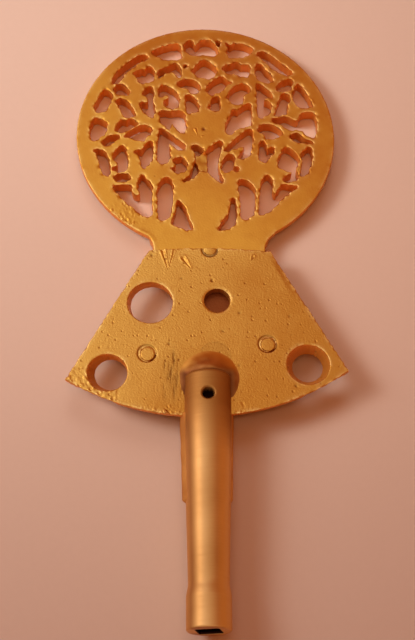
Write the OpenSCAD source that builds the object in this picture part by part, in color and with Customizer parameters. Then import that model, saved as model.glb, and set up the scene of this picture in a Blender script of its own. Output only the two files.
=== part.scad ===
// Clock key made from a pierced brass watch cock: the cock's round table is the bow, its fan-shaped
// foot carries the pipe, and the pipe's tip has the square that fits the winding arbor.
// The key lies flat, +Z up, with the bow towards +Y and the pipe along -Y.

/* [Bow] */
// Diameter of the round pierced head
head_d = 27.7; // [24:0.1:34]
// Thickness of the head, neck and tongue
head_t = 1.5; // [1:0.1:2.2]
// Solid band left round the fretwork
rim_w = 1.25; // [0.8:0.1:2]
// Width of the chamfer round the back of the rim
rim_chamfer = 0.8; // [0.2:0.05:1]
// Head centre to the seam where the fan begins
neck_reach = 14.35; // [13:0.1:18]
// Width of the neck at the seam
neck_w = 11.5; // [9:0.1:13]
// Radius of the hollow flare between head and neck
flare_r = 2.2; // [1.5:0.1:3.5]
// Sideways offset of the neck and fan from the head's centre line
neck_shift = 0.3; // [0:0.1:0.6]
// Diameter of the worn centre punch mark in the head
pivot_d = 0.45; // [0.3:0.05:0.8]
// Depth below the face of the web left in the middle opening
web_drop = 0.6; // [0.2:0.05:1]

/* [Fan] */
// Seam to the lowest point of the fan's curved edge
fan_l = 18.3; // [16:0.1:22]
// Thickness of the fan plate
fan_t = 1.1; // [0.8:0.05:1.6]
// Width of the fan at the seam
fan_end_w = 12.1; // [10:0.1:14]
// How much wider the fan is than the head, corner to corner
fan_over = 0.06; // [-1:0.02:1]
// Radius of the curved edge
fan_edge_r = 24.7; // [20:0.1:32]
// Chamfer filed along the back of the curved edge
edge_chamfer = 0.6; // [0.2:0.05:0.7]
// Radius of the slight arch along the seam
seam_arch_r = 60; // [40:1:120]
// Diameter of the large plain hole
ring_hole_d = 4.5; // [3.5:0.1:5]
// Diameter of the blind hole beside it
blind_hole_d = 2.6; // [2:0.1:3]
// Width of the bevel round the blind hole
blind_bevel = 0.27; // [0.1:0.01:0.4]
// Diameter of the tapered hole on the left, at the front
left_hole_d = 3.9; // [3:0.1:4.4]
// Diameter of the countersunk hole on the right, at the front
right_hole_d = 4.2; // [3:0.1:4.6]
// How much smaller the left hole is at the back
left_hole_taper = 0.7; // [0:0.1:1]
// Slant at which the left hole was drilled, in degrees about X and about Y
left_hole_slant = [7, -17]; // [-20:1:20]
// How much smaller the right hole is at the back
right_hole_taper = 1.2; // [0:0.1:1.6]

/* [Pins] */
// Diameter of the two filed steady pins
steady_pin_d = 1.4; // [1:0.05:1.8]
// Diameter of the dowel on the seam
dowel_d = 1.25; // [1:0.05:1.6]
// Width of the worn groove round each pin
pin_groove_w = 0.27; // [0.1:0.01:0.4]
// Depth of the worn groove round each pin
pin_groove_h = 0.15; // [0.05:0.01:0.3]
// Radial clearance of a pin in its hole
pin_clearance = 0.01; // [0.005:0.005:0.03]

/* [Pipe] */
// Length of the pipe
pipe_l = 24.9; // [20:0.1:32]
// Diameter of the pipe at the fan
pipe_d = 4.66; // [4.2:0.02:5.6]
// Diameter of the pipe at its waist, just above the tip
pipe_waist_d = 3.84; // [3.6:0.02:4.2]
// Diameter of the tip
tip_d = 4.2; // [3.8:0.02:5]
// Length of the straight part at the tip
tip_l = 3; // [2:0.1:6]
// Length over which the waist swells out to the tip
tip_swell = 1.4; // [0.6:0.1:3]
// Width of the chamfer round the tip's end
tip_chamfer = 0.18; // [0.05:0.01:0.3]
// Length of the pipe that grips the fan
pipe_overlap = 4.4; // [3:0.1:6]
// Length of the straight part at the fan end
pipe_straight_l = 5.5; // [4.5:0.1:8]
// Radius of the filed edge at the fan end
pipe_end_round = 0.5; // [0.2:0.05:0.8]
// Length of the saw slot
slot_l = 13; // [8:0.1:14]
// Clearance on each side of the fan in the slot
slot_clearance = 0.03; // [0.01:0.01:0.06]
// Bore at the slotted end
relief_bore_d = 2.6; // [2:0.05:3]
// Bore behind the square
pilot_bore_d = 2.2; // [1.5:0.05:2.2]
// Square socket across the flats
socket_af = 2.25; // [2:0.05:2.5]
// Turn of the square about the pipe's axis, in degrees
socket_turn = 14; // [-45:1:45]
// Depth of the square socket
socket_l = 8; // [5:0.1:10]
// Diameter of the small hole through the front wall
vent_d = 1.12; // [0.6:0.02:1.6]
// Width of the bevel round the small hole
vent_bevel = 0.18; // [0.05:0.01:0.3]
// Pipe end to the centre of the small hole
vent_inset = 2.6; // [1.5:0.1:3.4]

/* [Braze] */
// How much wider the braze bead is than the pipe, on each side
bead_w = 0.4; // [0.2:0.05:0.8]
// Reach of the braze bead past the pipe's end
bead_reach = 2.25; // [0.8:0.05:2.4]
// Height of the braze bead on the fan
bead_h = 1; // [0.5:0.05:1.4]
// Sideways offset of the braze bead from the pipe
bead_shift = 0.28; // [-0.4:0.02:0.4]
// How far the left slot filling stands out of the pipe
left_fill_proud = 0.4; // [0.05:0.05:0.5]
// How far the right slot filling stands out of the pipe
right_fill_proud = 0.2; // [0.05:0.05:0.5]
// Length over which each filling dies away at its lower end
fill_shoulder = 0.8; // [0.4:0.1:2]
// Sideways place of the middle of each filling's outer rib
rib_x = 1.25; // [1:0.05:1.6]
// Leg of the braze fillet round the tongue
tongue_fillet = 0.4; // [0.2:0.05:0.7]

/* [Hidden] */
$fn = 96;
// Cut-through allowance
eps = 0.5;
// Angle between the points of a filed round edge
round_step = 15;
// Number of steps in the swelling at the tip
swell_steps = 6;
head_r = head_d / 2;

// Places along the key
overall_l = head_r + neck_reach + fan_l - pipe_overlap + pipe_l;
head_y = overall_l / 2 - head_r;
seam_y = head_y - neck_reach;
fan_edge_y = seam_y - fan_l;
pipe_end_y = fan_edge_y + pipe_overlap;
tip_y = pipe_end_y - pipe_l;

// Heights: the pipe rests on z = 0, its axis lies in the middle of the fan
axis_z = pipe_d / 2;
fan_top_z = axis_z + fan_t / 2;
fan_back_z = axis_z - fan_t / 2;
head_back_z = fan_back_z - head_t;
slot_w = fan_t + 2 * slot_clearance;
pipe_r = pipe_d / 2;

// The fan's curved edge is struck from a centre a little left of the pipe
fan_edge_x = -0.8;
fan_arc_at = [fan_edge_x, fan_edge_y + sqrt(fan_edge_r * fan_edge_r - fan_edge_x * fan_edge_x)];
fan_half_w = (head_d + fan_over) / 2;
// Holes and pins, sideways from the centre line and down from the seam, as drawn for a fan of this half
// width and length; they keep their share of the fan when its size changes
drawn_half_w = 13.88;
drawn_fan_l = 18.3;
ring_hole_at = [-5.7, 6.2];
blind_hole_at = [1.0, 5.9];
left_hole_at = [-9.8, 13.8];
right_hole_at = [9.9, 12.8];
left_pin_at = [-5.9, 11.8];
right_pin_at = [6, 10.7];
dowel_at = [0.3, 0.15];
// Seat of the dowel in the neck below the fan
dowel_seat_h = 0.8;
pivot_at = [-0.1, 0.9];
pivot_h = 0.35;
// Share of its height that a slot filling still has where it begins to die away
fill_thinning = 0.7;
// How far each filling's rib laps over the fan's faces
fill_lap = 0.4;
// Tongue under the fan: a taper that ends in a round lobe behind the blind hole
tongue_end_r = 2.4;
lobe_steps = 24;
// How far the tongue is rooted in the neck
tongue_root = 0.6;

// Fretwork, drawn in millimetres about a point just below the head's centre for a reach of fret_reach.
// Each opening is the few points that its saw cut turns through, joined by a smooth closed curve.
fret_reach = 12.6;
fret_drop = 0.05;
fret_scale = (head_r - rim_w) / fret_reach;
curve_steps = 4;

rim_slots = [
  [[-10.2, 6.8], [-9.7, 8], [-8.4, 9.4], [-7, 10.4], [-6.3, 10], [-7.4, 9.1], [-8.6, 8], [-9.4, 6.7],
   [-10, 6.4]],
  [[-5.9, 10.7], [-5.3, 11.2], [-4.2, 11.7], [-3.1, 11.9], [-2.7, 11.3], [-2.7, 9.9], [-4, 9.7],
   [-5.2, 10.1]],
  [[-2.4, 11.6], [-1.9, 12.3], [-1.4, 12.3], [-1.1, 11.7], [-0.4, 12.4], [0.4, 12.5], [1.1, 11.9],
   [1.4, 11], [1.2, 10.4], [-0.4, 10.4], [-1.4, 10.4], [-2.1, 10.9]],
  [[1.2, 11.9], [1.3, 12.4], [1.7, 12.3], [1.7, 11.9], [1.5, 11.6]],
  [[2.3, 12.1], [2.8, 11.9], [3.4, 12.1], [4.5, 11.9], [5.3, 11.3], [4.9, 10.6], [4.2, 10.2],
   [2.9, 10.1], [2.4, 10.6], [2.5, 11.4]],
  [[5.7, 10.6], [6.1, 11], [6.9, 10.8], [8.2, 9.6], [9.5, 8.4], [9.4, 7.9], [8.4, 8], [7.6, 8.6],
   [6.9, 9.3], [6.2, 10]]
];
left_leaves = [
  [[-7.9, 7.9], [-7.1, 8.4], [-6.6, 8.4], [-6.2, 8.9], [-5.6, 8.2], [-5.8, 6.9], [-7.1, 6.6],
   [-7.5, 7.2]],
  [[-10, 5.6], [-9.7, 6.3], [-9.2, 6.5], [-8.6, 6], [-8.2, 5.4], [-8.5, 5], [-9.5, 5.1]],
  [[-11, 5.7], [-10.3, 5.3], [-10.1, 4.7], [-10.6, 3.3], [-11.2, 2.8], [-11.8, 2.8], [-12, 3.5],
   [-11.5, 4.8]],
  [[-9.7, 4.2], [-9.2, 4.6], [-8.4, 4.1], [-7.7, 3], [-7.7, 2.3], [-8.3, 2.1], [-8.9, 2.4],
   [-9.3, 3.3]],
  [[-6.9, 5.1], [-6.5, 5.9], [-6, 6.2], [-5.6, 5.6], [-5.7, 4.4], [-5.5, 3.2], [-5.6, 2.4], [-6, 2.2],
   [-6.6, 2.8], [-7.1, 3.7], [-6.9, 4.2], [-6.5, 4.1], [-6.2, 4.2], [-6.3, 4.7]],
  [[-9.7, 0.6], [-9.4, 1.4], [-9, 1.9], [-8.5, 1.8], [-8, 2], [-7.2, 1.3], [-7.7, 0.9], [-8.8, 0.3],
   [-9.5, 0.3]],
  [[-8.7, -0.2], [-7.8, 0.7], [-6.7, 1.2], [-5.9, 0.9], [-5.8, 0.2], [-6.3, -0.2], [-6.6, -0.8],
   [-7.3, -0.8], [-8, -0.4], [-8.5, -0.4]],
  [[-12, 2], [-11.3, 1.9], [-10.6, 1.3], [-10.7, 0.3], [-11.3, -0.5], [-12, -0.9], [-12.4, 0],
   [-12.4, 0.9]],
  [[-11.1, -1.1], [-10.5, -0.3], [-9.8, -0.1], [-9.2, -0.2], [-9.6, -0.9], [-10.3, -1.4],
   [-10.9, -1.5]],
  [[-7.6, -2.2], [-7.2, -1.9], [-6.8, -1.9], [-6.4, -1.2], [-5.9, -0.8], [-5.6, -1.6], [-5.7, -3],
   [-6.1, -3.8], [-6.6, -4.2], [-6.9, -3.5], [-7.1, -2.7]],
  [[-11.9, -2.1], [-11.5, -1.9], [-10.7, -2.2], [-10.4, -2.9], [-10.1, -4.4], [-10.3, -5.2],
   [-10.8, -5.1], [-11.2, -4.1], [-11.5, -2.9]],
  [[-9, -1.4], [-8.6, -1.7], [-8.3, -2.8], [-8.3, -4], [-8.5, -4.6], [-9.2, -4.7], [-9.9, -4.5],
   [-9.8, -4.1], [-9.4, -4], [-9.4, -3.5], [-9.9, -3], [-9.7, -2.2]],
  [[-9.7, -5.3], [-9.1, -4.9], [-8.4, -4.9], [-8, -5.2], [-8.1, -5.7], [-8.8, -5.9], [-9.5, -5.8]],
  [[-9.8, -6.5], [-9.2, -6.3], [-8, -6.3], [-7.8, -6.9], [-7.4, -7.5], [-6.9, -7.4], [-7.1, -6.9],
   [-7.2, -6.1], [-6.8, -5], [-6.3, -5.5], [-5.7, -6.4], [-5.7, -8], [-5.6, -9.8], [-6.4, -10.1],
   [-7.2, -9.4], [-8.3, -8.5], [-9.1, -7.6]]
];
right_leaves = [
  [[5.5, 8.6], [5.7, 9.3], [6.2, 9.3], [6.6, 8.6], [7.1, 8.1], [7.4, 7.3], [7, 6.9], [6, 7],
   [5.6, 7.7]],
  [[5.6, 6.5], [5.9, 6.7], [6.5, 6.2], [7.1, 5.7], [7.3, 5], [6.6, 4.8], [6.4, 4.6], [6.9, 4.4],
   [7.2, 3.7], [6.9, 2.9], [6.1, 2.3], [5.7, 2.6], [5.6, 4.5]],
  [[8.5, 5.5], [9.2, 5.2], [9.2, 4.6], [8.9, 3.9], [8.9, 3], [8.4, 2.7], [7.5, 2.6], [7.7, 3.6],
   [8.1, 4.8]],
  [[7.7, 6], [8.2, 6.9], [8.8, 7.3], [9.4, 7.4], [9.6, 6.8], [9.2, 5.9], [8.8, 5.7], [8.1, 5.7]],
  [[10.1, 6.8], [10.6, 6.3], [11.1, 5.4], [11.6, 4], [11.2, 3.7], [10.3, 3.7], [9.8, 4.1], [9.5, 5.2],
   [9.8, 6.2]],
  [[7.2, 2.2], [7.8, 2.3], [8.7, 2.5], [9.3, 2.2], [10, 2], [10.3, 2.8], [11.1, 3.1], [11.8, 2.9],
   [12, 1.8], [12, 0.7], [11.6, -0.1], [10.9, 0], [10.5, 0.6], [9.9, 0.8], [9.2, 0.8], [8.3, 1.3],
   [7.5, 1.7]],
  [[9.1, 0], [9.6, 0.4], [10.1, 0.3], [10.6, -0.3], [11.5, -0.7], [11.2, -1], [10.3, -0.8],
   [9.4, -0.6]],
  [[5.6, 0.6], [5.9, 1.3], [6.6, 1.5], [7.4, 1.3], [8.2, 0.6], [8, 0], [7.2, -0.4], [6.6, -0.4],
   [6.2, 0.2]],
  [[5.7, -1.8], [5.8, -0.9], [6.1, -0.6], [6.4, -0.9], [6.6, -1.6], [7, -1.4], [7.4, -1.6], [7, -2.5],
   [6.3, -3.3], [5.7, -3]],
  [[8.5, -1.4], [9.1, -1.6], [9.8, -2.4], [10, -3.2], [9.7, -3.7], [9.6, -4.3], [9.8, -5.2],
   [9.3, -5.6], [8.5, -5.7], [8.1, -5.4], [8.6, -4.9], [9.1, -4.6], [8.3, -4.3], [7.7, -3.8],
   [7.7, -3.1], [8.1, -2]],
  [[11.1, -1.3], [11.4, -2], [11.3, -3.2], [10.9, -4.4], [10.4, -5], [10, -4.9], [10.1, -4.2],
   [10.3, -3.2], [10.2, -2.2], [10.6, -1.7]],
  [[6.2, -5.1], [6.6, -4.9], [7.1, -5.6], [7, -6.6], [7.2, -7.2], [7.6, -6.7], [8.1, -6], [9, -6.1],
   [9.7, -6.3], [8.9, -7], [7.9, -7.9], [7, -9], [5.9, -9.7], [5.5, -9.5], [5.6, -8], [5.8, -6]]
];
upper_centre = [
  [[-5.2, 7.4], [-5.1, 8.3], [-4.2, 8.8], [-3.3, 9.3], [-2.8, 8.8], [-2.6, 7.8], [-2.9, 7.3],
   [-3.3, 7.8], [-3.7, 8.2], [-4.4, 7.9], [-4.9, 7.3]],
  [[-2.4, 8.7], [-2.3, 9.1], [-2, 9.1], [-2, 8.7]],
  [[-1.5, 8.2], [-1, 9], [-0.4, 9.7], [0.2, 9.7], [1.1, 8.9], [1.2, 8], [0.7, 7.4], [-0.1, 7.3],
   [-1, 7.7]],
  [[1.9, 8.6], [2.2, 9.1], [2.9, 9.3], [3.4, 9.6], [4, 9.2], [4.8, 9.2], [4.9, 8.3], [4.6, 7.6],
   [3.8, 7.7], [3, 8], [2.3, 8.1]],
  [[-3.1, 6.6], [-2.5, 7.1], [-1.8, 7.2], [-1, 6.9], [-0.6, 6.3], [-0.8, 5.5], [-1.5, 5.4], [-2, 5.9],
   [-2.6, 6.1]],
  [[0.1, 6.1], [0.6, 6.8], [1.3, 7.4], [1.9, 7.6], [2.4, 7.1], [2.9, 6.8], [2.2, 6.3], [1.7, 5.6],
   [1, 5.3], [0.4, 5.2]],
  [[-5.1, 5], [-5, 6.1], [-4.5, 6.4], [-3.7, 6], [-3, 5.2], [-2.8, 4.2], [-3.2, 3.4], [-3.8, 3.4],
   [-4.5, 3.8], [-4.4, 4.4], [-4, 4.7], [-4.1, 5.1], [-4.7, 4.9]],
  [[-2.2, 4.9], [-1.8, 5.2], [-1.2, 4.8], [-0.7, 3.8], [-0.8, 3.1], [-1.4, 2.8], [-2, 2.9],
   [-2.1, 3.8]],
  [[0.2, 3.4], [0.5, 3.9], [0.7, 4.7], [1.2, 5], [1.5, 4.8], [1.6, 3.6], [1.4, 3.1], [0.7, 3.2]],
  [[2.4, 5], [2.8, 5.9], [3.5, 6.5], [4.2, 6.7], [4.9, 6.2], [4.7, 5.5], [4.2, 5.2], [4.1, 4.4],
   [3.6, 3.9], [2.9, 4.1], [2.5, 4.5]],
  [[-5, 2.8], [-4.6, 3.1], [-3.7, 3], [-2.8, 3.1], [-2.3, 2.7], [-2.1, 1.6], [-2.2, 0.5], [-2.6, 0.2],
   [-3.1, 0.7], [-3.6, 1.4], [-3.8, 1], [-3.9, 0.4], [-4.3, 0.5], [-4.3, 1.1], [-4.8, 1.5]],
  [[2.1, 0.8], [2.4, 2], [3, 3.3], [3.5, 3.3], [4.2, 3.9], [4.9, 4.1], [5, 3], [4.9, 1.4], [4.4, 1.1],
   [3.5, 0.8], [2.5, 0.1]]
];
lower_centre = [
  [[-5, 0.5], [-4.7, 0.8], [-4, 0.3], [-3.1, -0.5], [-2.2, -1.3], [-2.3, -1.8], [-2.9, -1.9],
   [-3.6, -1.4], [-3.9, -1.2], [-3.8, -2.2], [-3.9, -3.3], [-4.5, -3.6], [-5.1, -3.4], [-5.2, -1.8]],
  [[1.9, -2], [2.5, -1.2], [3.4, -0.2], [4.4, 0.7], [4.9, 0.8], [5.1, 0], [4.9, -1.6], [4.6, -2.6],
   [4, -2.9], [3.5, -2.8], [3.8, -2.1], [4.1, -1.5], [3.5, -1.5], [2.6, -1.9]],
  [[-1.5, -1.4], [-0.9, -1.3], [-0.3, -1.7], [0, -2.1], [0.3, -1.6], [0.9, -1.1], [1.4, -0.7],
   [1.8, -0.9], [1.6, -2], [1.3, -3.3], [1.5, -4.7], [1.9, -5.7], [1.6, -5.9], [0.8, -5.3],
   [0.1, -4.6], [-0.5, -4.4], [-1, -5], [-1.6, -5.5], [-2.2, -5.8], [-2.4, -5.6], [-1.7, -5],
   [-1.4, -4], [-1.1, -2.6]],
  [[-3.5, -3.2], [-3, -2.8], [-2.4, -2.9], [-2, -3.6], [-2.1, -4.4], [-2.8, -4.7], [-3.4, -4.6],
   [-3.7, -4.2], [-3.3, -4], [-3.2, -3.7]],
  [[1.7, -3.5], [2, -2.8], [2.5, -2.3], [3, -2.6], [3.1, -3.2], [2.9, -3.8], [3.4, -3.9], [3.6, -4.2],
   [3.2, -4.5], [2.7, -4.4], [2.1, -4.7], [1.7, -4.3]],
  [[-4.5, -5.4], [-3.8, -5.4], [-3.5, -6.2], [-3.5, -8], [-3.7, -9.6], [-4.1, -10.4], [-4.7, -10.5],
   [-5, -10], [-5.1, -8], [-5.1, -6.6]],
  [[3.4, -6], [3.6, -5.5], [4.1, -5.5], [5, -6.2], [5.2, -7.2], [5.1, -9], [4.8, -9.9], [4, -10.3],
   [3.6, -10], [3.6, -8.4]],
  [[-3.1, -8.4], [-2.8, -8.1], [-2.2, -9], [-1.8, -10.2], [-1.4, -11.3], [-1.8, -11.6], [-2.7, -11.4],
   [-3.6, -10.9], [-3.5, -10.3], [-3.2, -9.4]],
  [[2.6, -8], [2.9, -7.7], [3.1, -8.2], [3.2, -9.6], [3, -10.8], [2.4, -11.4], [1.5, -11.6],
   [1.3, -11.3], [1.7, -10.5], [2.4, -9.4]]
];
// Web left deep in the middle opening, from the tip above it to the peak below it
middle_web = [
  [[-1.3, -2.4], [-0.6, -2.3], [-0.2, -1.7], [0.1, -1.9], [0.15, -3.2], [0.15, -4.7], [-0.3, -4.7],
   [-0.45, -4.2], [-0.75, -3.9], [-0.9, -3.4], [-1.3, -2.9]]
];

// Smooth closed curve through a ring of points (Catmull-Rom)
function curve_point(a, b, c, d, t) =
  0.5 * (2 * b + (c - a) * t + (2 * a - 5 * b + 4 * c - d) * t * t + (3 * b - a - 3 * c + d) * t * t * t);
function smooth_ring(p) =
  let (n = len(p))
  [for (i = [0 : n - 1], k = [0 : curve_steps - 1])
    curve_point(p[(i + n - 1) % n], p[i], p[(i + 1) % n], p[(i + 2) % n], k / curve_steps)];

// Angle at which the line from a point touches a circle, d from the circle's centre; turn picks the side
function touch_angle(d, r, turn) = atan2(d[1], d[0]) + turn * acos(r / norm(d));

// Place of a point in the fan, given sideways and down from the seam
function in_fan(at) = [at[0] * fan_half_w / drawn_half_w, seam_y - at[1] * fan_l / drawn_fan_l, 0];

// Part of the fretwork in its place, from the groups of rings drawn above
module fretwork(groups) {
  translate([0, head_y - fret_drop * fret_scale])
    for (group = groups, ring = group)
      polygon([for (p = smooth_ring(ring)) p * fret_scale]);
}

// Neck with a hollow flare on each side, tangent to the head and to its own sides
module neck_outline() {
  half_w = neck_w / 2;
  flare_x = half_w + flare_r;
  flare_y = head_y - sqrt(pow(head_r + flare_r, 2) - flare_x * flare_x);
  touch_x = flare_x * head_r / (head_r + flare_r);
  difference() {
    translate([neck_shift - touch_x, seam_y])
      square([2 * touch_x, neck_reach]);
    for (side = [-1, 1])
      translate([neck_shift + side * flare_x, flare_y])
        circle(flare_r);
    for (side = [-1, 1])
      translate([neck_shift + side * flare_x, seam_y - eps])
        translate([-flare_r, 0])
          square([2 * flare_r, max(flare_y - seam_y + eps, 0)]);
  }
}

// Tongue that laps under the fan, grown outwards by grow
module tongue_outline(grow) {
  half_w = neck_w / 2 - tongue_fillet + grow;
  end_r = tongue_end_r + grow;
  lobe = in_fan(blind_hole_at);
  left = [neck_shift - half_w - lobe[0], seam_y - lobe[1]];
  right = [neck_shift + half_w - lobe[0], seam_y - lobe[1]];
  root = [0, tongue_root];
  from = touch_angle(right, end_r, -1);
  sweep = touch_angle(left, end_r, 1) - 360 - from;
  translate(lobe)
    polygon(concat([left, left + root, right + root, right], [for (k = [0 : lobe_steps])
      let (a = from + sweep * k / lobe_steps) end_r * [cos(a), sin(a)]]));
}

module fan_outline() {
  half_end = fan_end_w / 2;
  seam = [for (side = [-1, 1]) [neck_shift + side * half_end, seam_y]];
  corner = [for (side = [-1, 1])
    [side * fan_half_w, fan_arc_at[1] - sqrt(pow(fan_edge_r, 2) - pow(side * fan_half_w - fan_edge_x, 2))]];
  run = [for (k = [0, 1]) (corner[k] - seam[k]) / norm(corner[k] - seam[k]) * eps];
  intersection() {
    polygon([seam[0] - run[0], seam[1] - run[1], corner[1] + run[1], [0, fan_edge_y - fan_l],
             corner[0] + run[0]]);
    translate(fan_arc_at)
      circle(fan_edge_r, $fn = 360);
    translate([neck_shift, seam_y - seam_arch_r])
      circle(seam_arch_r, $fn = 720);
  }
}

// The fan before drilling: a cone struck from the arc's centre takes the chamfer off the back of the edge
module fan_blank() {
  least_r = fan_edge_r - edge_chamfer - eps;
  cone_h = fan_t + 2 * eps;
  intersection() {
    translate([0, 0, fan_back_z])
      linear_extrude(fan_t)
        fan_outline();
    translate([fan_arc_at[0], fan_arc_at[1], fan_back_z - eps])
      cylinder(r1 = least_r, r2 = least_r + cone_h, h = cone_h, $fn = 360);
  }
}

// Worn round groove and hole for a pin of diameter d
module pin_hole(at, d) {
  translate(in_fan(at)) {
    translate([0, 0, fan_back_z - eps])
      cylinder(d = d + 2 * pin_clearance, h = fan_t + 2 * eps);
    translate([0, 0, fan_top_z - pin_groove_h])
      cylinder(d = d + 2 * pin_groove_w, h = pin_groove_h + eps);
  }
}

// Hole whose diameter falls by taper through the fan, drilled at a slant about its middle at the front
module tapered_hole(at, d, taper, slant) {
  slope = taper / fan_t;
  translate(in_fan(at) + [0, 0, fan_top_z])
    rotate([slant[0], slant[1], 0])
      translate([0, 0, -fan_t - eps])
        cylinder(d1 = d - taper - slope * eps, d2 = d + slope * eps, h = fan_t + 2 * eps);
}

module steady_pin(at) {
  translate(in_fan(at) + [0, 0, fan_back_z])
    cylinder(d = steady_pin_d, h = fan_t);
}

// Solid turned about the pipe's axis, drawn as radius against distance from the fan end
module turned(profile) {
  translate([0, pipe_end_y, axis_z])
    rotate([90, 0, 0])
      rotate_extrude()
        polygon(profile);
}

module pipe_body() {
  waist_r = pipe_waist_d / 2;
  swell = tip_d / 2 - waist_r;
  swell_start = pipe_l - tip_l - tip_swell;
  turned(concat(
    [[0, 0]],
    [for (a = [0 : round_step : 90])
      [pipe_r - pipe_end_round * (1 - sin(a)), pipe_end_round * (1 - cos(a))]],
    [[pipe_r, pipe_straight_l]],
    [for (k = [0 : swell_steps])
      [waist_r + swell * (1 - cos(180 * k / swell_steps)) / 2, swell_start + tip_swell * k / swell_steps]],
    [[tip_d / 2, pipe_l - tip_chamfer], [tip_d / 2 - tip_chamfer, pipe_l], [0, pipe_l]]));
}

// Bead round the pipe's end on one face of the fan: the cap of a sphere
module bead_mound() {
  toe = pipe_r + bead_w;
  cap_r = (toe * toe + bead_h * bead_h) / (2 * bead_h);
  translate([bead_shift, bead_reach - toe, 0])
    intersection() {
      translate([0, 0, bead_h - cap_r])
        sphere(cap_r);
      cylinder(r = toe + eps, h = bead_h + eps);
    }
}

module pipe_braze(face_z, up) {
  difference() {
    translate([0, pipe_end_y, face_z])
      mirror([0, 0, up > 0 ? 0 : 1])
        bead_mound();
    pipe_body();
  }
}

// Saw slot across the pipe's fan end
module saw_slot() {
  translate([-pipe_d, pipe_end_y - slot_l, axis_z - slot_w / 2])
    cube([2 * pipe_d, slot_l + eps, slot_w]);
}

// Round rib along the pipe's side, from radius r1 to r2 over length l, starting down from the fan's edge
module rib(start, l, r1, r2) {
  translate([rib_x, fan_edge_y - start, axis_z])
    rotate([90, 0, 0])
      cylinder(r1 = r1, r2 = r2, h = l);
}

// Filling in the saw slot below the fan, swelling into a rib on the side given by side
module slot_fill(side, proud) {
  fill_l = slot_l - pipe_overlap;
  body_l = fill_l - fill_shoulder;
  inner = relief_bore_d / 2;
  taper = (pipe_r - pipe_waist_d / 2) / (pipe_l - tip_l - tip_swell - pipe_straight_l);
  end_r = pipe_r - taper * max(slot_l - pipe_straight_l, 0);
  top_rib = pipe_r + proud - rib_x;
  low_rib = end_r + fill_thinning * proud - rib_x;
  mirror([side > 0 ? 0 : 1, 0, 0])
    difference() {
      union() {
        rib(-fill_lap, body_l + fill_lap, top_rib, low_rib);
        rib(body_l, fill_shoulder, low_rib, end_r - rib_x);
      }
      translate([-pipe_d, fan_edge_y - slot_l, 0])
        cube([pipe_d + inner, 2 * slot_l, pipe_d]);
      difference() {
        pipe_body();
        saw_slot();
      }
      mirror([side > 0 ? 0 : 1, 0, 0])
        fan_blank();
    }
}

module pierced_head() {
  color("#c27a2a")
    difference() {
      union() {
        translate([0, head_y, fan_back_z])
          rotate_extrude($fn = 180)
            polygon([[0, -head_t], [head_r - rim_chamfer, -head_t], [head_r, -head_t + rim_chamfer],
                     [head_r, 0], [0, 0]]);
        translate([0, 0, head_back_z])
          linear_extrude(head_t)
            neck_outline();
        translate([0, 0, head_back_z])
          linear_extrude(head_t)
            tongue_outline(0);
      }
      difference() {
        translate([0, 0, head_back_z - eps])
          linear_extrude(head_t + 2 * eps)
            fretwork([rim_slots, left_leaves, right_leaves, upper_centre, lower_centre]);
        translate([0, 0, head_back_z - 2 * eps])
          linear_extrude(head_t + 2 * eps - web_drop)
            fretwork([middle_web]);
      }
      translate([pivot_at[0], head_y + pivot_at[1], fan_back_z - pivot_h])
        cylinder(d = pivot_d, h = pivot_h + eps);
      translate(in_fan(dowel_at) + [0, 0, fan_back_z - dowel_seat_h])
        cylinder(d = dowel_d + 2 * pin_clearance, h = dowel_seat_h + eps);
    }
}

module fan_plate() {
  color("#cc8a38")
    difference() {
      fan_blank();
      translate(in_fan(ring_hole_at) + [0, 0, fan_back_z - eps])
        cylinder(d = ring_hole_d, h = fan_t + 2 * eps);
      translate(in_fan(blind_hole_at) + [0, 0, fan_back_z - eps])
        cylinder(d = blind_hole_d, h = fan_t + 2 * eps);
      translate(in_fan(blind_hole_at) + [0, 0, fan_top_z - blind_bevel])
        cylinder(d1 = blind_hole_d, d2 = blind_hole_d + 4 * blind_bevel, h = 2 * blind_bevel);
      tapered_hole(left_hole_at, left_hole_d, left_hole_taper, left_hole_slant);
      tapered_hole(right_hole_at, right_hole_d, right_hole_taper, [0, 0]);
      pin_hole(left_pin_at, steady_pin_d);
      pin_hole(right_pin_at, steady_pin_d);
      pin_hole(dowel_at, dowel_d);
    }
}

module key_pipe() {
  color("#d9a05a")
    difference() {
      pipe_body();
      turned([[0, -eps], [relief_bore_d / 2, -eps], [relief_bore_d / 2, slot_l], [0, slot_l]]);
      turned([[0, slot_l - eps], [pilot_bore_d / 2, slot_l - eps], [pilot_bore_d / 2, pipe_l + eps],
              [0, pipe_l + eps]]);
      saw_slot();
      translate([0, tip_y - eps, axis_z])
        rotate([0, -socket_turn, 0])
          translate([-socket_af / 2, 0, -socket_af / 2])
            cube([socket_af, socket_l + eps, socket_af]);
      translate([0, pipe_end_y - vent_inset, axis_z])
        cylinder(d = vent_d, h = pipe_d);
      translate([0, pipe_end_y - vent_inset, axis_z + pipe_r - vent_bevel])
        cylinder(d1 = vent_d, d2 = vent_d + 4 * vent_bevel, h = 2 * vent_bevel);
    }
}

module left_steady_pin() {
  color("#c98a3c")
    steady_pin(left_pin_at);
}

module right_steady_pin() {
  color("#c98a3c")
    steady_pin(right_pin_at);
}

// The dowel's upper half is filed flush with the fan's edge
module seam_dowel() {
  color("#cf9240") {
    translate(in_fan(dowel_at) + [0, 0, fan_back_z - dowel_seat_h])
      cylinder(d = dowel_d, h = dowel_seat_h);
    intersection() {
      translate(in_fan(dowel_at) + [0, 0, fan_back_z])
        cylinder(d = dowel_d, h = fan_t);
      translate([0, 0, fan_back_z])
        linear_extrude(fan_t)
          fan_outline();
    }
  }
}

module front_pipe_braze() {
  color("#97491f")
    pipe_braze(fan_top_z, 1);
}

module back_pipe_braze() {
  color("#97491f")
    pipe_braze(fan_back_z, -1);
}

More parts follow.
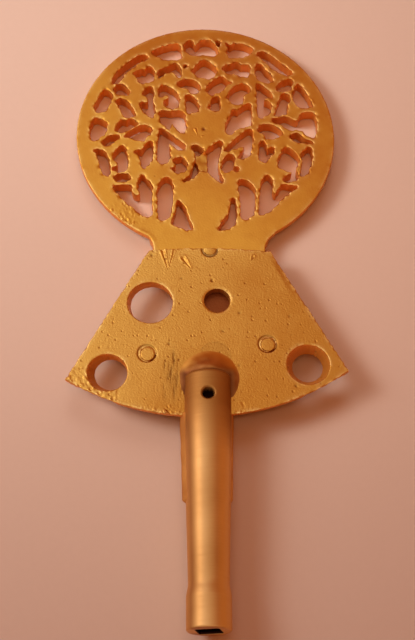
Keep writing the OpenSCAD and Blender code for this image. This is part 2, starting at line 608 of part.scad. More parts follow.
module left_slot_fill() {
  color("#b0692c")
    slot_fill(-1, left_fill_proud);
}

module right_slot_fill() {
  color("#b0692c")
    slot_fill(1, right_fill_proud);
}

module tongue_braze() {
  color("#a65f2a")
    difference() {
      translate([0, 0, fan_back_z - tongue_fillet])
        linear_extrude(tongue_fillet)
          intersection() {
            tongue_outline(tongue_fillet);
            fan_outline();
          }
      translate([0, 0, head_back_z - eps])
        linear_extrude(head_t + 2 * eps)
          tongue_outline(0);
      translate(in_fan(ring_hole_at) + [0, 0, head_back_z - eps])
        cylinder(d = ring_hole_d, h = head_t + 2 * eps);
    }
}

pierced_head();
fan_plate();
key_pipe();
left_steady_pin();
right_steady_pin();
seam_dowel();
front_pipe_braze();
back_pipe_braze();
left_slot_fill();
right_slot_fill();
tongue_braze();
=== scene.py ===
"""Looks of the clock key: a gilt cock plate, pierced and drilled, with a turned pipe brazed over its edge.

Shapes are worked out in millimetres in the CAD frame, and put_piece turns them into metres.
"""
import math

import bmesh
import bpy
import numpy as np
from mathutils import Matrix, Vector
from mathutils.geometry import delaunay_2d_cdt


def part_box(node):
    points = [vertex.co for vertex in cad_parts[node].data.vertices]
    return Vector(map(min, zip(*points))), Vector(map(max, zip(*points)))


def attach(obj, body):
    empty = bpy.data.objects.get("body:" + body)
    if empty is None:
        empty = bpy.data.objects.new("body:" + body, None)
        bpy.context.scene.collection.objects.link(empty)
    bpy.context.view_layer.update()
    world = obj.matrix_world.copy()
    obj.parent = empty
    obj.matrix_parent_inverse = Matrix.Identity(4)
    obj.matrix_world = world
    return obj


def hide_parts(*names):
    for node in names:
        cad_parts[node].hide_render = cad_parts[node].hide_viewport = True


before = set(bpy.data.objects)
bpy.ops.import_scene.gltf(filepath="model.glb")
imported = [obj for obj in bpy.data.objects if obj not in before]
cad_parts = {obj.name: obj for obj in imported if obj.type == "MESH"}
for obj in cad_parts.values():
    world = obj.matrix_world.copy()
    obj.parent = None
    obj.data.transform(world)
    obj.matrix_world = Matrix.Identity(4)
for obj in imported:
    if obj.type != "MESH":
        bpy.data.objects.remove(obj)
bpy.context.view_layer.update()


def box_mm(node):
    """Lowest and highest corner of a CAD node, in millimetres."""
    low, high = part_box(node)
    return np.array(low) * 1000, np.array(high) * 1000


HEAD_BACK, HEAD_TOP = (corner[2] for corner in box_mm("pierced_head"))
FAN_BACK, FAN_TOP = (corner[2] for corner in box_mm("fan_plate"))
HEAD_R = box_mm("pierced_head")[1][0]
HEAD_Y = box_mm("pierced_head")[1][1] - HEAD_R
HEAD_MIDDLE = np.array([0, HEAD_Y])
PIPE_LOW, PIPE_HIGH = box_mm("key_pipe")
PIPE_R = (PIPE_HIGH[2] - PIPE_LOW[2]) / 2
PIPE_L = PIPE_HIGH[1] - PIPE_LOW[1]
PIPE_END = PIPE_HIGH[1]
AXIS_Z = PIPE_LOW[2] + PIPE_R

# Holes of the fan: centre and radius at the front, how much smaller the radius is at the back, and how far
# the slant of the drill moves the hole there
RING_HOLE = (np.array([-5.7, -0.9]), 2.25, 0.1, np.array([0.2, 0.0]))
BLIND_HOLE = (np.array([1.0, -0.6]), 1.3, 0.0, np.array([0.0, 0.0]))
LEFT_HOLE = (np.array([-9.8, -8.5]), 1.95, 0.35, np.array([0.34, 0.14]))
RIGHT_HOLE = (np.array([9.9, -7.5]), 2.1, 0.6, np.array([0.0, 0.0]))
DRILLED = (RING_HOLE, BLIND_HOLE, LEFT_HOLE, RIGHT_HOLE)
# Pins of the fan and the dowel at the seam, and the radii of a pin, of its hole and of the dowel
LEFT_PIN = np.array([-5.9, -6.5])
RIGHT_PIN = np.array([6.0, -5.4])
DOWEL = np.array([0.3, 5.15])
PIN_R, PIN_HOLE_R, DOWEL_R = 0.7, 0.71, 0.625


# Outlines

def away(point, centre):
    """Distance of each point of the plane from a centre."""
    return np.hypot(*(point - centre).T)


def around(outline):
    """Length of a closed outline."""
    return np.hypot(*(np.roll(outline, -1, 0) - outline).T).sum()


def face_outlines(node, z):
    """Closed outlines of the node's flat face at height z, longest first, each with the metal on its left.

    They are the edges that only one triangle of the face has. Doubling the step along those edges gives every
    point its ring, named by the ring's least index, and its rank, the steps left to that index."""
    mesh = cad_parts[node].data
    mesh.calc_loop_triangles()
    place = np.empty(len(mesh.vertices) * 3, np.float32)
    mesh.vertices.foreach_get("co", place)
    corner = np.empty(len(mesh.loop_triangles) * 3, np.int32)
    mesh.loop_triangles.foreach_get("vertices", corner)
    tri = (place.reshape(-1, 3) * 1000.0)[corner].reshape(-1, 3, 3)
    tri = tri[(np.abs(tri[:, :, 2] - z) < 0.002).all(axis=1)][:, :, :2]
    side_a, side_b = tri[:, 1] - tri[:, 0], tri[:, 2] - tri[:, 0]
    if (side_a[:, 0] * side_b[:, 1] - side_a[:, 1] * side_b[:, 0]).sum() < 0:
        tri = tri[:, ::-1]
    point, corner = np.unique(np.round(tri.reshape(-1, 2), 4), axis=0, return_inverse=True)
    corner = corner.reshape(-1, 3)
    edge = np.vstack([corner[:, [0, 1]], corner[:, [1, 2]], corner[:, [2, 0]]])
    edge = edge[edge[:, 0] != edge[:, 1]]
    weight = np.array([len(point), 1])
    edge = edge[~np.isin(edge @ weight, edge[:, ::-1] @ weight)]
    used = np.unique(edge[:, 0])
    place_in_used = np.zeros(len(point), int)
    place_in_used[used] = np.arange(len(used))
    after = np.arange(len(used))
    after[place_in_used[edge[:, 0]]] = place_in_used[edge[:, 1]]
    own = np.arange(len(used))
    doublings = range(int(math.log2(len(used))) + 1)
    ring, jump = own.copy(), after.copy()
    for _ in doublings:
        ring, jump = np.minimum(ring, ring[jump]), jump[jump]
    rank, jump = np.where(ring == own, 0, 1), np.where(ring == own, own, after)
    for _ in doublings:
        rank, jump = rank + rank[jump], jump[jump]
    order = np.lexsort((-rank, ring))
    outlines = np.split(point[used][order], np.flatnonzero(np.diff(ring[order])) + 1)
    return sorted(outlines, key=around, reverse=True)


# Shortest and longest wave of an uneven outline
SHORT_WAVE, LONG_WAVE = 0.5, 2.5


def worn_outline(outline, step, blur, shake, seed):
    """The outline at even steps, worn and uneven: its Fourier sum is damped so that corners finer than blur
    go round, and random waves between the short and the long one, shake high, are added along its normal."""
    closed = np.vstack([outline, outline[:1]])
    along = np.concatenate([[0], np.cumsum(np.hypot(*np.diff(closed, axis=0).T))])
    count = max(16, round(along[-1] / step))
    at = np.arange(count) * along[-1] / count
    ring = np.interp(at, along, closed[:, 0]) + 1j * np.interp(at, along, closed[:, 1])
    wave = np.fft.fftfreq(count, along[-1] / count)
    ring = np.fft.ifft(np.fft.fft(ring) * np.exp(-(2 * np.pi * wave * blur) ** 2 / 2))
    rng = np.random.default_rng(seed)
    band = (np.abs(wave) > 1 / LONG_WAVE) & (np.abs(wave) < 1 / SHORT_WAVE)
    sway = np.fft.ifft(band * (rng.normal(size=count) + 1j * rng.normal(size=count))).real
    sway *= shake / max(sway.std(), 1e-9)
    along_it = np.roll(ring, -1) - np.roll(ring, 1)
    ring = ring + 1j * along_it / np.abs(along_it) * sway
    return np.column_stack([ring.real, ring.imag])


def circle_outline(centre, radius, step):
    """A hole's outline: a circle run clockwise, so that the metal is on its left."""
    turn = np.linspace(0, -2 * np.pi, round(2 * np.pi * radius / step), endpoint=False)
    return centre + radius * np.column_stack([np.cos(turn), np.sin(turn)])


# Plates

# Rows of points set in from the outlines, on the front and on the back, where the chamfer's row is added
FRONT_ROWS = (0.01, 0.035, 0.075, 0.13, 0.2)
BACK_ROWS = (0.03, 0.1)
# Rows this share of the points' spacing apart give even triangles
EVEN_ROWS = 0.866
# How far in from an outline the worn edge and the look of the wall reach
EDGE_WIDTH, WALL_WIDTH = 0.12, 0.02


def nearest(point, rim, batch=3000):
    """Distance from each point to the nearest point of a rim, a batch at a time."""
    found = []
    for start in range(0, len(point), batch):
        some = point[start:start + batch]
        square = (some ** 2).sum(1)[:, None] + (rim ** 2).sum(1) - 2 * some @ rim.T
        found.append(np.sqrt(np.maximum(square.min(axis=1), 0)))
    return np.concatenate(found)


def inside(point, outlines):
    """Even-odd rule: whether the ray from each point along +X crosses the outlines an odd number of times."""
    odd = np.zeros(len(point), bool)
    x, y = point[:, :1], point[:, 1:]
    for outline in outlines:
        (ax, ay), (bx, by) = outline.T, np.roll(outline, -1, 0).T
        passes = (ay > y) != (by > y)
        rise = np.where(by == ay, 1, by - ay)
        odd ^= ((passes & (x < ax + (y - ay) * (bx - ax) / rise)).sum(axis=1) % 2).astype(bool)
    return odd


def patch(low, high, spacing, row_step=1.0):
    """Staggered points spacing apart in a box of the plane, in rows a share of the spacing apart."""
    rows = np.arange(low[1], high[1], row_step * spacing)
    across, up = np.meshgrid(np.arange(low[0], high[0], spacing), rows)
    across[1::2] += spacing / 2
    return np.column_stack([across.ravel(), up.ravel()])


def sheet(outlines, rows, spacing, extra=()):
    """Flat triangles between closed outlines, from rows of points set in from every outline, a staggered
    field of points spacing apart, and any extra points, by constrained Delaunay triangulation.

    Gives the points, those of the outlines first, the triangles, and the points' distances from the
    outlines."""
    rim = np.vstack(outlines)
    along_it = np.vstack([np.roll(o, -1, 0) - np.roll(o, 1, 0) for o in outlines])
    inward = np.column_stack([-along_it[:, 1], along_it[:, 0]]) / np.hypot(*along_it.T)[:, None]
    parts = [rim]
    for depth in rows:
        row = rim + depth * inward
        row = row[nearest(row, rim) > 0.9 * depth]
        parts.append(row[inside(row, outlines)])
    field = np.vstack([patch(rim.min(axis=0), rim.max(axis=0), spacing, EVEN_ROWS), *extra])
    field = field[inside(field, outlines)]
    parts.append(field[nearest(field, rim) > rows[-1] + 0.3 * spacing])
    first = np.cumsum([0] + [len(o) for o in outlines])
    edge = np.vstack([np.column_stack([np.arange(len(o)), np.roll(np.arange(len(o)), -1)]) + start
                      for o, start in zip(outlines, first)])
    flat, _, triangle, *_ = delaunay_2d_cdt(np.vstack(parts).tolist(), edge.tolist(), [], 1, 1e-6)
    point, triangle = np.array(flat), np.array(triangle)
    a, b, c = (point[triangle[:, k]] for k in range(3))
    turned = (b - a)[:, 0] * (c - a)[:, 1] < (b - a)[:, 1] * (c - a)[:, 0]
    triangle[turned] = triangle[turned][:, ::-1]
    on_rim = np.flatnonzero((triangle < len(rim)).all(axis=1))
    over_hole = on_rim[~inside(point[triangle[on_rim]].mean(axis=1), outlines)]
    return point, np.delete(triangle, over_hole, axis=0), nearest(point, rim)


def plate(outlines, front, back, soil, chamfer, spacing, extra=(), narrowed=lambda point: point):
    """A closed plate between two sheets over the same outlines, joined by a wall at each outline.

    front and back give a height for points and their distances from the outlines, soil gives how dark a
    front point and the wall below it go, by dirt in some places and by painted shade in others, chamfer is
    the width of the back's chamfer, and narrowed moves the back's points where a hole is tapered. Gives
    places, triangles and the shares that the gilding reads: edge, highest just in from the outline, wall,
    highest at it, and soil."""
    upper, upper_tri, upper_far = sheet(outlines, FRONT_ROWS, spacing, extra)
    lower, lower_tri, lower_far = sheet(outlines, (*BACK_ROWS, chamfer), 3 * spacing)
    place = np.vstack([np.column_stack([upper, front(upper, upper_far)]),
                       np.column_stack([narrowed(lower), back(lower, lower_far)])])
    walls = []
    start = 0
    for outline in outlines:
        here = start + np.arange(len(outline))
        then = np.roll(here, -1)
        low_here, low_then = here + len(upper), then + len(upper)
        walls += [np.column_stack([low_here, low_then, then]), np.column_stack([low_here, then, here])]
        start += len(outline)
    triangle = np.vstack([upper_tri, lower_tri[:, ::-1] + len(upper)] + walls)
    far = np.concatenate([upper_far, lower_far])
    wall = np.exp(-far / WALL_WIDTH)
    dark_share = np.concatenate([soil(upper), soil(lower) * np.exp(-lower_far / WALL_WIDTH)])
    return place, triangle, {"edge": np.exp(-far / EDGE_WIDTH) - wall, "wall": wall, "soil": dark_share}


def rounded(far, radius):
    """Drop of a quarter-round edge of the given radius at a distance from the edge."""
    left = np.clip(1 - far / radius, 0, 1)
    return radius * (1 - np.sqrt(1 - left ** 2))


def ripple(point, size, seed, waves=12):
    """Uneven surface about 1 high: waves of about one size, in random directions."""
    rng = np.random.default_rng(seed)
    turn = rng.uniform(0, 2 * np.pi, waves)
    rate = 2 * np.pi / size * rng.uniform(0.6, 1.5, waves)
    heading = np.vstack([rate * np.cos(turn), rate * np.sin(turn)])
    return np.cos(point @ heading + rng.uniform(0, 2 * np.pi, waves)).sum(axis=1) / 2.5


def mark(point, start, end, width, depth):
    """Height of a graver's slip from start to end: a V that narrows towards its end, with a thrown-up lip. A
    negative depth makes it a ridge."""
    start, end = np.array(start), np.array(end)
    run = end - start
    share = np.clip((point - start) @ run / (run @ run), 0, 1)
    far = np.hypot(*(point - start - share[:, None] * run).T)
    half = width * (1 - 0.75 * share)
    lip = 0.3 * depth * near(far, 1.3 * half, 0.4 * half)
    return lip - depth * (1 - 0.4 * share) * np.clip(1 - far / half, 0, 1)


def dot(point, centre, radius, depth):
    """Height of a punched or corroded pit: a round bell of the given radius, sunk by depth."""
    return -depth * near(away(point, centre), 0, radius)


def near(value, middle, width):
    """A bell of the given width about a middle, 1 high."""
    return np.exp(-((value - middle) / width) ** 2)


# Pieces

def put_piece(name, place, faces, material, slot, *nodes, **attributes):
    """Adds a smooth mesh of places in millimetres that rides on the key and stands for CAD nodes."""
    mesh = bpy.data.meshes.new(name)
    mesh.from_pydata((place / 1000).tolist(), [], faces)
    mesh.polygons.foreach_set("use_smooth", np.ones(len(mesh.polygons), bool))
    for word, value in attributes.items():
        mesh.attributes.new(word, "FLOAT", "POINT").data.foreach_set("value", value.astype(np.float32))
    mesh.materials.append(material)
    set_piece(bpy.data.objects.new(name, mesh), slot, *nodes)


def set_piece(piece, slot, *nodes):
    """Links a piece, rides it on the key's one body and hides the CAD nodes that it stands for."""
    bpy.context.scene.collection.objects.link(piece)
    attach(piece, "root")
    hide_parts(*nodes)


def eased_copy(name, node, material, slot, width, segments):
    """A CAD node's solid with its sharp edges eased by a bevel."""
    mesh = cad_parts[node].data.copy()
    mesh.name = name
    shape = bmesh.new()
    shape.from_mesh(mesh)
    bmesh.ops.remove_doubles(shape, verts=shape.verts, dist=1e-7)
    bmesh.ops.dissolve_limit(shape, angle_limit=math.radians(0.5), verts=shape.verts, edges=shape.edges)
    shape.to_mesh(mesh)
    shape.free()
    mesh.materials.clear()
    mesh.materials.append(material)
    mesh.polygons.foreach_set("use_smooth", np.ones(len(mesh.polygons), bool))
    piece = bpy.data.objects.new(name, mesh)
    bevel = piece.modifiers.new("eased edges", "BEVEL")
    bevel.width = width / 1000
    bevel.segments = segments
    bevel.limit_method = "ANGLE"
    bevel.angle_limit = math.radians(35)
    bevel.harden_normals = True
    set_piece(piece, slot, node)


def swept(sections):
    """Places and faces of closed sections, an array (along, around, 3), joined in order and capped at both
    ends."""
    along, around_it, _ = sections.shape
    index = np.arange(along * around_it).reshape(along, around_it)
    turned = np.roll(index, -1, axis=1)
    quads = np.stack([index[:-1], turned[:-1], turned[1:], index[1:]], axis=-1).reshape(-1, 4)
    return sections.reshape(-1, 3), quads.tolist() + [index[0][::-1].tolist(), index[-1].tolist()]


# Materials

def linear(code):
    """Linear red, green, blue and alpha of an sRGB hex colour."""
    shares = [int(code[k:k + 2], 16) / 255 for k in (1, 3, 5)]
    return [c / 12.92 if c <= 0.04045 else ((c + 0.055) / 1.055) ** 2.4 for c in shares] + [1.0]


def feed(tree, node, sockets):
    """Sets a node's inputs, each from a constant, from an output, or from a node's first output."""
    for word, value in sockets.items():
        if isinstance(value, bpy.types.Node):
            value = value.outputs[0]
        if isinstance(value, bpy.types.NodeSocket):
            tree.links.new(value, node.inputs[word])
        else:
            node.inputs[word].default_value = value


def add(tree, kind, sockets=None, **settings):
    """Adds a shader node with its settings and feeds its inputs."""
    made = tree.nodes.new("ShaderNode" + kind)
    for word, value in settings.items():
        setattr(made, word, value)
    feed(tree, made, sockets or {})
    return made


def per_mm(size):
    """Texture scale at which a pattern's features are size millimetres across, on coordinates in metres."""
    return 1000 / size


def new_material(name):
    """An empty node material, its tree and shader, and the coordinates that patterns follow."""
    material = bpy.data.materials.new(name)
    material.use_nodes = True
    tree = material.node_tree
    return material, tree, tree.nodes["Principled BSDF"], add(tree, "TexCoord").outputs["Object"]


# Pale tone of the worn edges, partly wear and partly a painted highlight, and tone of the sawn walls, partly
# the brass's own and partly painted bounce light
WORN_GILT_AND_HIGHLIGHT, SAWN_WALL_AND_BOUNCE = "#ffd890", "#ec9a3c"
GILT_ROUGH = 0.4


def gilding(name, pale, deep, dark, painted_light_slope, shift, grain_mm, grain_height, specks):
    """Fire-gilt brass: dull gold from the mercury, polished in patches along its worn edges, where a pale
    tone is partly wear and partly a painted highlight.

    A slow cloud and a finer mottle move the colour between pale and deep gold, and a slope across the plate
    adds painted light, paler to the left and towards the neck. A grain of grain_mm and pits in a share of the
    cells roughen it. The walls of openings are browner, partly as sawn brass and partly as painted bounce
    light, and less metallic. The soil share darkens places: dirt in some, painted shade in others."""
    material, tree, shader, where = new_material(name)
    cloud = add(tree, "TexNoise", {"Vector": where, "Scale": per_mm(7), "Detail": 3.0})
    mottle = add(tree, "TexNoise", {"Vector": where, "Scale": per_mm(1.1), "Detail": 4.0, "Roughness": 0.6})
    grain = add(tree, "TexNoise", {"Vector": where, "Scale": per_mm(grain_mm), "Detail": 3.0,
                                   "Roughness": 0.55})
    faint = add(tree, "MapRange", {"Value": mottle, "To Min": 0.25, "To Max": 0.75})
    blend = add(tree, "Math", {0: cloud, 1: faint}, operation="ADD")
    # Painted light: the plate's tone slopes, paler to the left and towards the neck
    across = add(tree, "VectorMath", {0: where, 1: (1000 * painted_light_slope[0], 1000 * painted_light_slope[1], 0)},
                 operation="DOT_PRODUCT")
    tone_and_painted_light = add(tree, "Math", {0: blend, 1: across.outputs["Value"]}, operation="ADD")
    share = add(tree, "MapRange", {"Value": tone_and_painted_light, "From Min": 0.6 - shift, "From Max": 1.4 - shift})
    gold = add(tree, "MixRGB", {"Fac": share, "Color1": linear(deep), "Color2": linear(pale)})
    edge = add(tree, "Attribute", attribute_name="edge").outputs["Fac"]
    patches = add(tree, "MapRange", {"Value": mottle, "From Min": 0.4, "From Max": 0.56, "To Max": 1.2})
    rubbed = add(tree, "Math", {0: edge, 1: patches}, operation="MULTIPLY")
    # Painted highlight: the pale tone on the worn edges is partly wear and partly stands in for light they
    # catch
    wear_and_painted_highlight = add(tree, "Math", {0: rubbed, 1: 0.4}, operation="MULTIPLY")
    bright = add(tree, "MixRGB", {"Fac": wear_and_painted_highlight, "Color1": gold, "Color2": linear(WORN_GILT_AND_HIGHLIGHT)})
    wall = add(tree, "Attribute", attribute_name="wall").outputs["Fac"]
    # The walls' tone is partly the sawn brass's own and partly painted bounce light in the openings
    tone = add(tree, "MixRGB", {"Fac": wall, "Color1": bright, "Color2": linear(SAWN_WALL_AND_BOUNCE)})
    # Pits about 0.15 mm across in some cells of 0.45 mm
    cells = add(tree, "TexVoronoi", {"Vector": where, "Scale": per_mm(0.45)})
    hollow = add(tree, "MapRange", {"Value": cells.outputs["Distance"], "From Min": 0.34, "From Max": 0.12})
    chosen = add(tree, "MapRange", {"Value": cells.outputs["Color"], "From Min": 1 - specks,
                                    "From Max": 1.01 - specks})
    pitted = add(tree, "Math", {0: hollow, 1: chosen}, operation="MULTIPLY")
    # Darkening towards the dark colour: dirt in some places, painted shade in others
    soil = add(tree, "Attribute", attribute_name="soil").outputs["Fac"]
    dark_share = add(tree, "Math", {0: pitted, 1: 0.32, 2: soil}, operation="MULTIPLY_ADD")
    darkened = add(tree, "MixRGB", {"Fac": dark_share, "Color1": tone, "Color2": linear(dark)})
    matt = add(tree, "MapRange", {"Value": mottle, "From Min": 0.3, "From Max": 0.7,
                                  "To Min": GILT_ROUGH - 0.05, "To Max": GILT_ROUGH + 0.05})
    polish = add(tree, "Math", {0: rubbed, 1: -0.36, 2: matt}, operation="MULTIPLY_ADD")
    frost = add(tree, "Math", {0: pitted, 1: -0.8, 2: grain}, operation="MULTIPLY_ADD")
    bump = add(tree, "Bump", {"Height": frost, "Strength": 1.0, "Distance": grain_height / 1000})
    bare = add(tree, "MapRange", {"Value": wall, "To Min": 1.0, "To Max": 0.55})
    feed(tree, shader, {"Base Color": darkened, "Roughness": polish, "Normal": bump, "Metallic": bare})
    return material


# Where along Y the torch's browning of the pipe starts and is full, and how far its border wavers
HEAT_STARTS, HEAT_FULL, HEAT_WAVERS = -14.5, -9.5, 4.0


def turned_brass():
    """Lathe-turned brass: fine rings round the pipe's axis and a soft sheen, brighter on the flanks with a
    painted reflection, browned and dulled by the torch at the fan end, and near black with painted shade in
    the socket and the vent."""
    material, tree, shader, where = new_material("turned_pipe_brass")
    cloud = add(tree, "TexNoise", {"Vector": where, "Scale": per_mm(5), "Detail": 4.0})
    # Rings of about 0.3 mm, coarser than the real tool marks so that they show, and drawn out round the pipe
    stretch = add(tree, "Mapping", {"Vector": where, "Scale": (0.06, 1.0, 0.06)})
    rings = add(tree, "TexNoise", {"Vector": stretch, "Scale": per_mm(0.3), "Detail": 3.0})
    share = add(tree, "MapRange", {"Value": cloud, "From Min": 0.35, "From Max": 0.65})
    tone = add(tree, "MixRGB", {"Fac": share, "Color1": linear("#b27a43"), "Color2": linear("#be864d")})
    rubbed = add(tree, "Attribute", attribute_name="rubbed").outputs["Fac"]
    # Painted reflection: the flanks are paler, as if they mirrored the lit paper
    shiny = add(tree, "MixRGB", {"Fac": rubbed, "Color1": tone, "Color2": linear("#e2ac64")})
    along = add(tree, "SeparateXYZ", {0: where}).outputs["Y"]
    uneven = add(tree, "Math", {0: cloud, 1: HEAT_WAVERS / 1000, 2: along}, operation="MULTIPLY_ADD")
    heat = add(tree, "MapRange", {"Value": uneven, "From Min": HEAT_STARTS / 1000,
                                  "From Max": HEAT_FULL / 1000})
    burnt = add(tree, "MixRGB", {"Fac": heat, "Color1": shiny, "Color2": linear("#a06832")})
    # Painted shade: the socket and the vent's floor go near black
    soil = add(tree, "Attribute", attribute_name="soil").outputs["Fac"]
    darkened = add(tree, "MixRGB", {"Fac": soil, "Color1": burnt, "Color2": linear("#1e0804")})
    dull = add(tree, "MapRange", {"Value": heat, "To Min": 0.34, "To Max": 0.5})
    matt = add(tree, "Math", {0: rings, 1: 0.18, 2: dull}, operation="MULTIPLY_ADD")
    bump = add(tree, "Bump", {"Height": rings, "Strength": 1.0, "Distance": 0.000025})
    feed(tree, shader, {"Base Color": darkened, "Roughness": matt, "Normal": bump, "Metallic": 1.0})
    return material


def spelter(name, pale, deep, toe, rough):
    """Brazing spelter left as it flowed: smooth waves, browned by the torch in patches, gilt again at its
    toe."""
    material, tree, shader, where = new_material(name)
    burn = add(tree, "TexNoise", {"Vector": where, "Scale": per_mm(2.2), "Detail": 4.0})
    waves = add(tree, "TexNoise", {"Vector": where, "Scale": per_mm(0.5), "Detail": 2.0})
    share = add(tree, "MapRange", {"Value": burn, "From Min": 0.35, "From Max": 0.65})
    tone = add(tree, "MixRGB", {"Fac": share, "Color1": linear(deep), "Color2": linear(pale)})
    thin = add(tree, "Attribute", attribute_name="toe").outputs["Fac"]
    edged = add(tree, "MixRGB", {"Fac": thin, "Color1": tone, "Color2": linear(toe)})
    # Painted shade: the bead goes dark brown in the crease beside the pipe
    soil = add(tree, "Attribute", attribute_name="soil").outputs["Fac"]
    darkened = add(tree, "MixRGB", {"Fac": soil, "Color1": edged, "Color2": linear("#5c2c14")})
    matt = add(tree, "MapRange", {"Value": waves, "From Min": 0.3, "From Max": 0.7,
                                  "To Min": rough - 0.06, "To Max": rough + 0.06})
    bump = add(tree, "Bump", {"Height": waves, "Strength": 1.0, "Distance": 0.00001})
    feed(tree, shader, {"Base Color": darkened, "Roughness": matt, "Normal": bump, "Metallic": 1.0})
    return material


def peach_paper():
    """Plain pale peach paper: a faint fibre mottle, no gloss."""
    material, tree, shader, where = new_material("peach_paper")
    fibre = add(tree, "TexNoise", {"Vector": where, "Scale": per_mm(0.6), "Detail": 4.0})
    tone = add(tree, "MixRGB", {"Fac": fibre, "Color1": linear("#e4cab8"), "Color2": linear("#e7cdbb")})
    feed(tree, shader, {"Base Color": tone, "Roughness": 0.95, "Specular IOR Level": 0.1})
    return material


# Both plates carry painted light, paler to the left and towards the neck: painted_light_slope is the change
# of tone per millimetre along X and Y, and shift sets the tone where the two axes meet
head_gilding = gilding("gilding_of_head", pale="#d19438", deep="#b56a22", dark="#7a3c1c",
                       painted_light_slope=(-0.017, -0.025), shift=0.42, grain_mm=0.2, grain_height=0.022, specks=0.06)
fan_gilding = gilding("frosted_gilding_of_fan", pale="#d09845", deep="#b9782d", dark="#5e3414",
                      painted_light_slope=(-0.048, 0.032), shift=0.048, grain_mm=0.18, grain_height=0.055, specks=0.25)
pipe_brass = turned_brass()
braze = spelter("torch_browned_spelter", pale="#ac6832", deep="#8c4e22", toe="#bc7830", rough=0.38)
slot_braze = spelter("filed_spelter", pale="#d89a52", deep="#c68644", toe="#d89a52", rough=0.5)


# Head: the openings are followed from the CAD solid, worn and shaken as a piercing saw leaves them

RIM_CHAMFER = 0.8
# Sizes of the rim, which stays inside the solid's, and of the web, as shares of the solid's
RIM_SHARE, WEB_SHARE = 0.998, 1.08
# How far in from the rim the sawn work starts, and the width over which it sets in
SAWN_FROM, SAWN_OVER = 0.25, 0.15
# The punch mark's hole in the solid, the mark itself, and two ridges thrown up beside it as start, end,
# width and depth, which is negative because they rise
PIVOT = np.array([-0.1, HEAD_Y + 0.9])
PUNCH_MARK = PIVOT - (0.1, 0.2)
RIDGES = [((-1.15, HEAD_Y + 0.65), (-0.9, HEAD_Y - 0.1), 0.16, -0.07),
          ((-0.4, HEAD_Y - 0.25), (-0.15, HEAD_Y - 0.2), 0.14, -0.05)]
# Burrs at the lower left of the rim, and a lip down the left of the neck
RIM_BURRS_AT, NECK_LIP_AT = (-8.4, 9.6), (-6.6, 6.8)
# How deep the web in the middle opening lies, and how dark its painted shade is
WEB_DROP, WEB_SHADE = 0.6, 0.2
# The thin strut at the left of the middle, worn a little below the face
STRUT = np.array([(-4.7, 20.42), (-4.3, 20.14), (-3.95, 19.87), (-3.6, 19.75),
                  (-3.6, 20.1), (-3.95, 20.25), (-4.3, 20.47), (-4.7, 20.7)])
STRUT_DROP = 0.03


def head_front(point, far):
    """Front of the head: a smooth turned rim, uneven sawn edges with burrs, a faint unevenness, and the punch
    mark and the ridges at its centre."""
    sawn = np.clip((HEAD_R - away(point, HEAD_MIDDLE) - SAWN_FROM) / SAWN_OVER, 0, 1)
    worn = 0.08 + sawn * np.clip(0.07 + 0.11 * ripple(point, 0.9, 2), -0.05, 0.22)
    z = HEAD_TOP - rounded(far, worn) + 0.0012 * ripple(point, 2.4, 3)
    z += 0.015 * sawn * np.clip(ripple(point, 0.6, 16), 0, 3) * near(far, 0.13, 0.07)
    z += dot(point, PUNCH_MARK, 0.18, 0.1)
    for start, end, width, depth in RIDGES:
        z += mark(point, start, end, width, depth)
    burr = near(away(point, RIM_BURRS_AT), 0, 1.4) * np.exp(-far / 0.5)
    burr *= ripple(point, 0.5, 4) * ripple(point, 1.1, 13)
    lip = near(point[:, 0], NECK_LIP_AT[0], 1.2) * near(point[:, 1], NECK_LIP_AT[1], 1.8)
    lip *= near(far, 0.2, 0.12)
    return z + 0.09 * burr + 0.06 * lip


def head_darkening(point):
    """Painted shade on the tongue at the bottom of the blind hole, and a darker dot in the punch mark."""
    return np.clip(3 - 1.5 * away(point, BLIND_HOLE[0]), 0, 1) + near(away(point, PUNCH_MARK), 0, 0.2)


def head_back(point, far):
    """Back of the head: eased edges, and the wide chamfer round the rim but not across the neck."""
    chamfer = np.clip(RIM_CHAMFER - (HEAD_R - away(point, HEAD_MIDDLE)), 0, RIM_CHAMFER)
    above_neck = point[:, 1] > HEAD_Y - HEAD_R + 1.2
    return HEAD_BACK + rounded(far, 0.1) + np.where(above_neck, chamfer, 0)


def web_front(point, far):
    """Face of the web, deep in the middle opening."""
    return HEAD_TOP - WEB_DROP - rounded(far, 0.1) + 0.02 * ripple(point, 1.2, 15)


def strut_front(point, far):
    """Face of the thin strut."""
    return HEAD_TOP - STRUT_DROP - rounded(far, 0.1)


def flat_back(point, far):
    """Back of the web and of the strut, level with the head's."""
    return np.full(len(far), HEAD_BACK)


def web_shade(point):
    """An even painted shade on the web, which lies deep in its opening."""
    return np.full(len(point), WEB_SHADE)


def strut_soil(point):
    """The strut is clean."""
    return np.zeros(len(point))


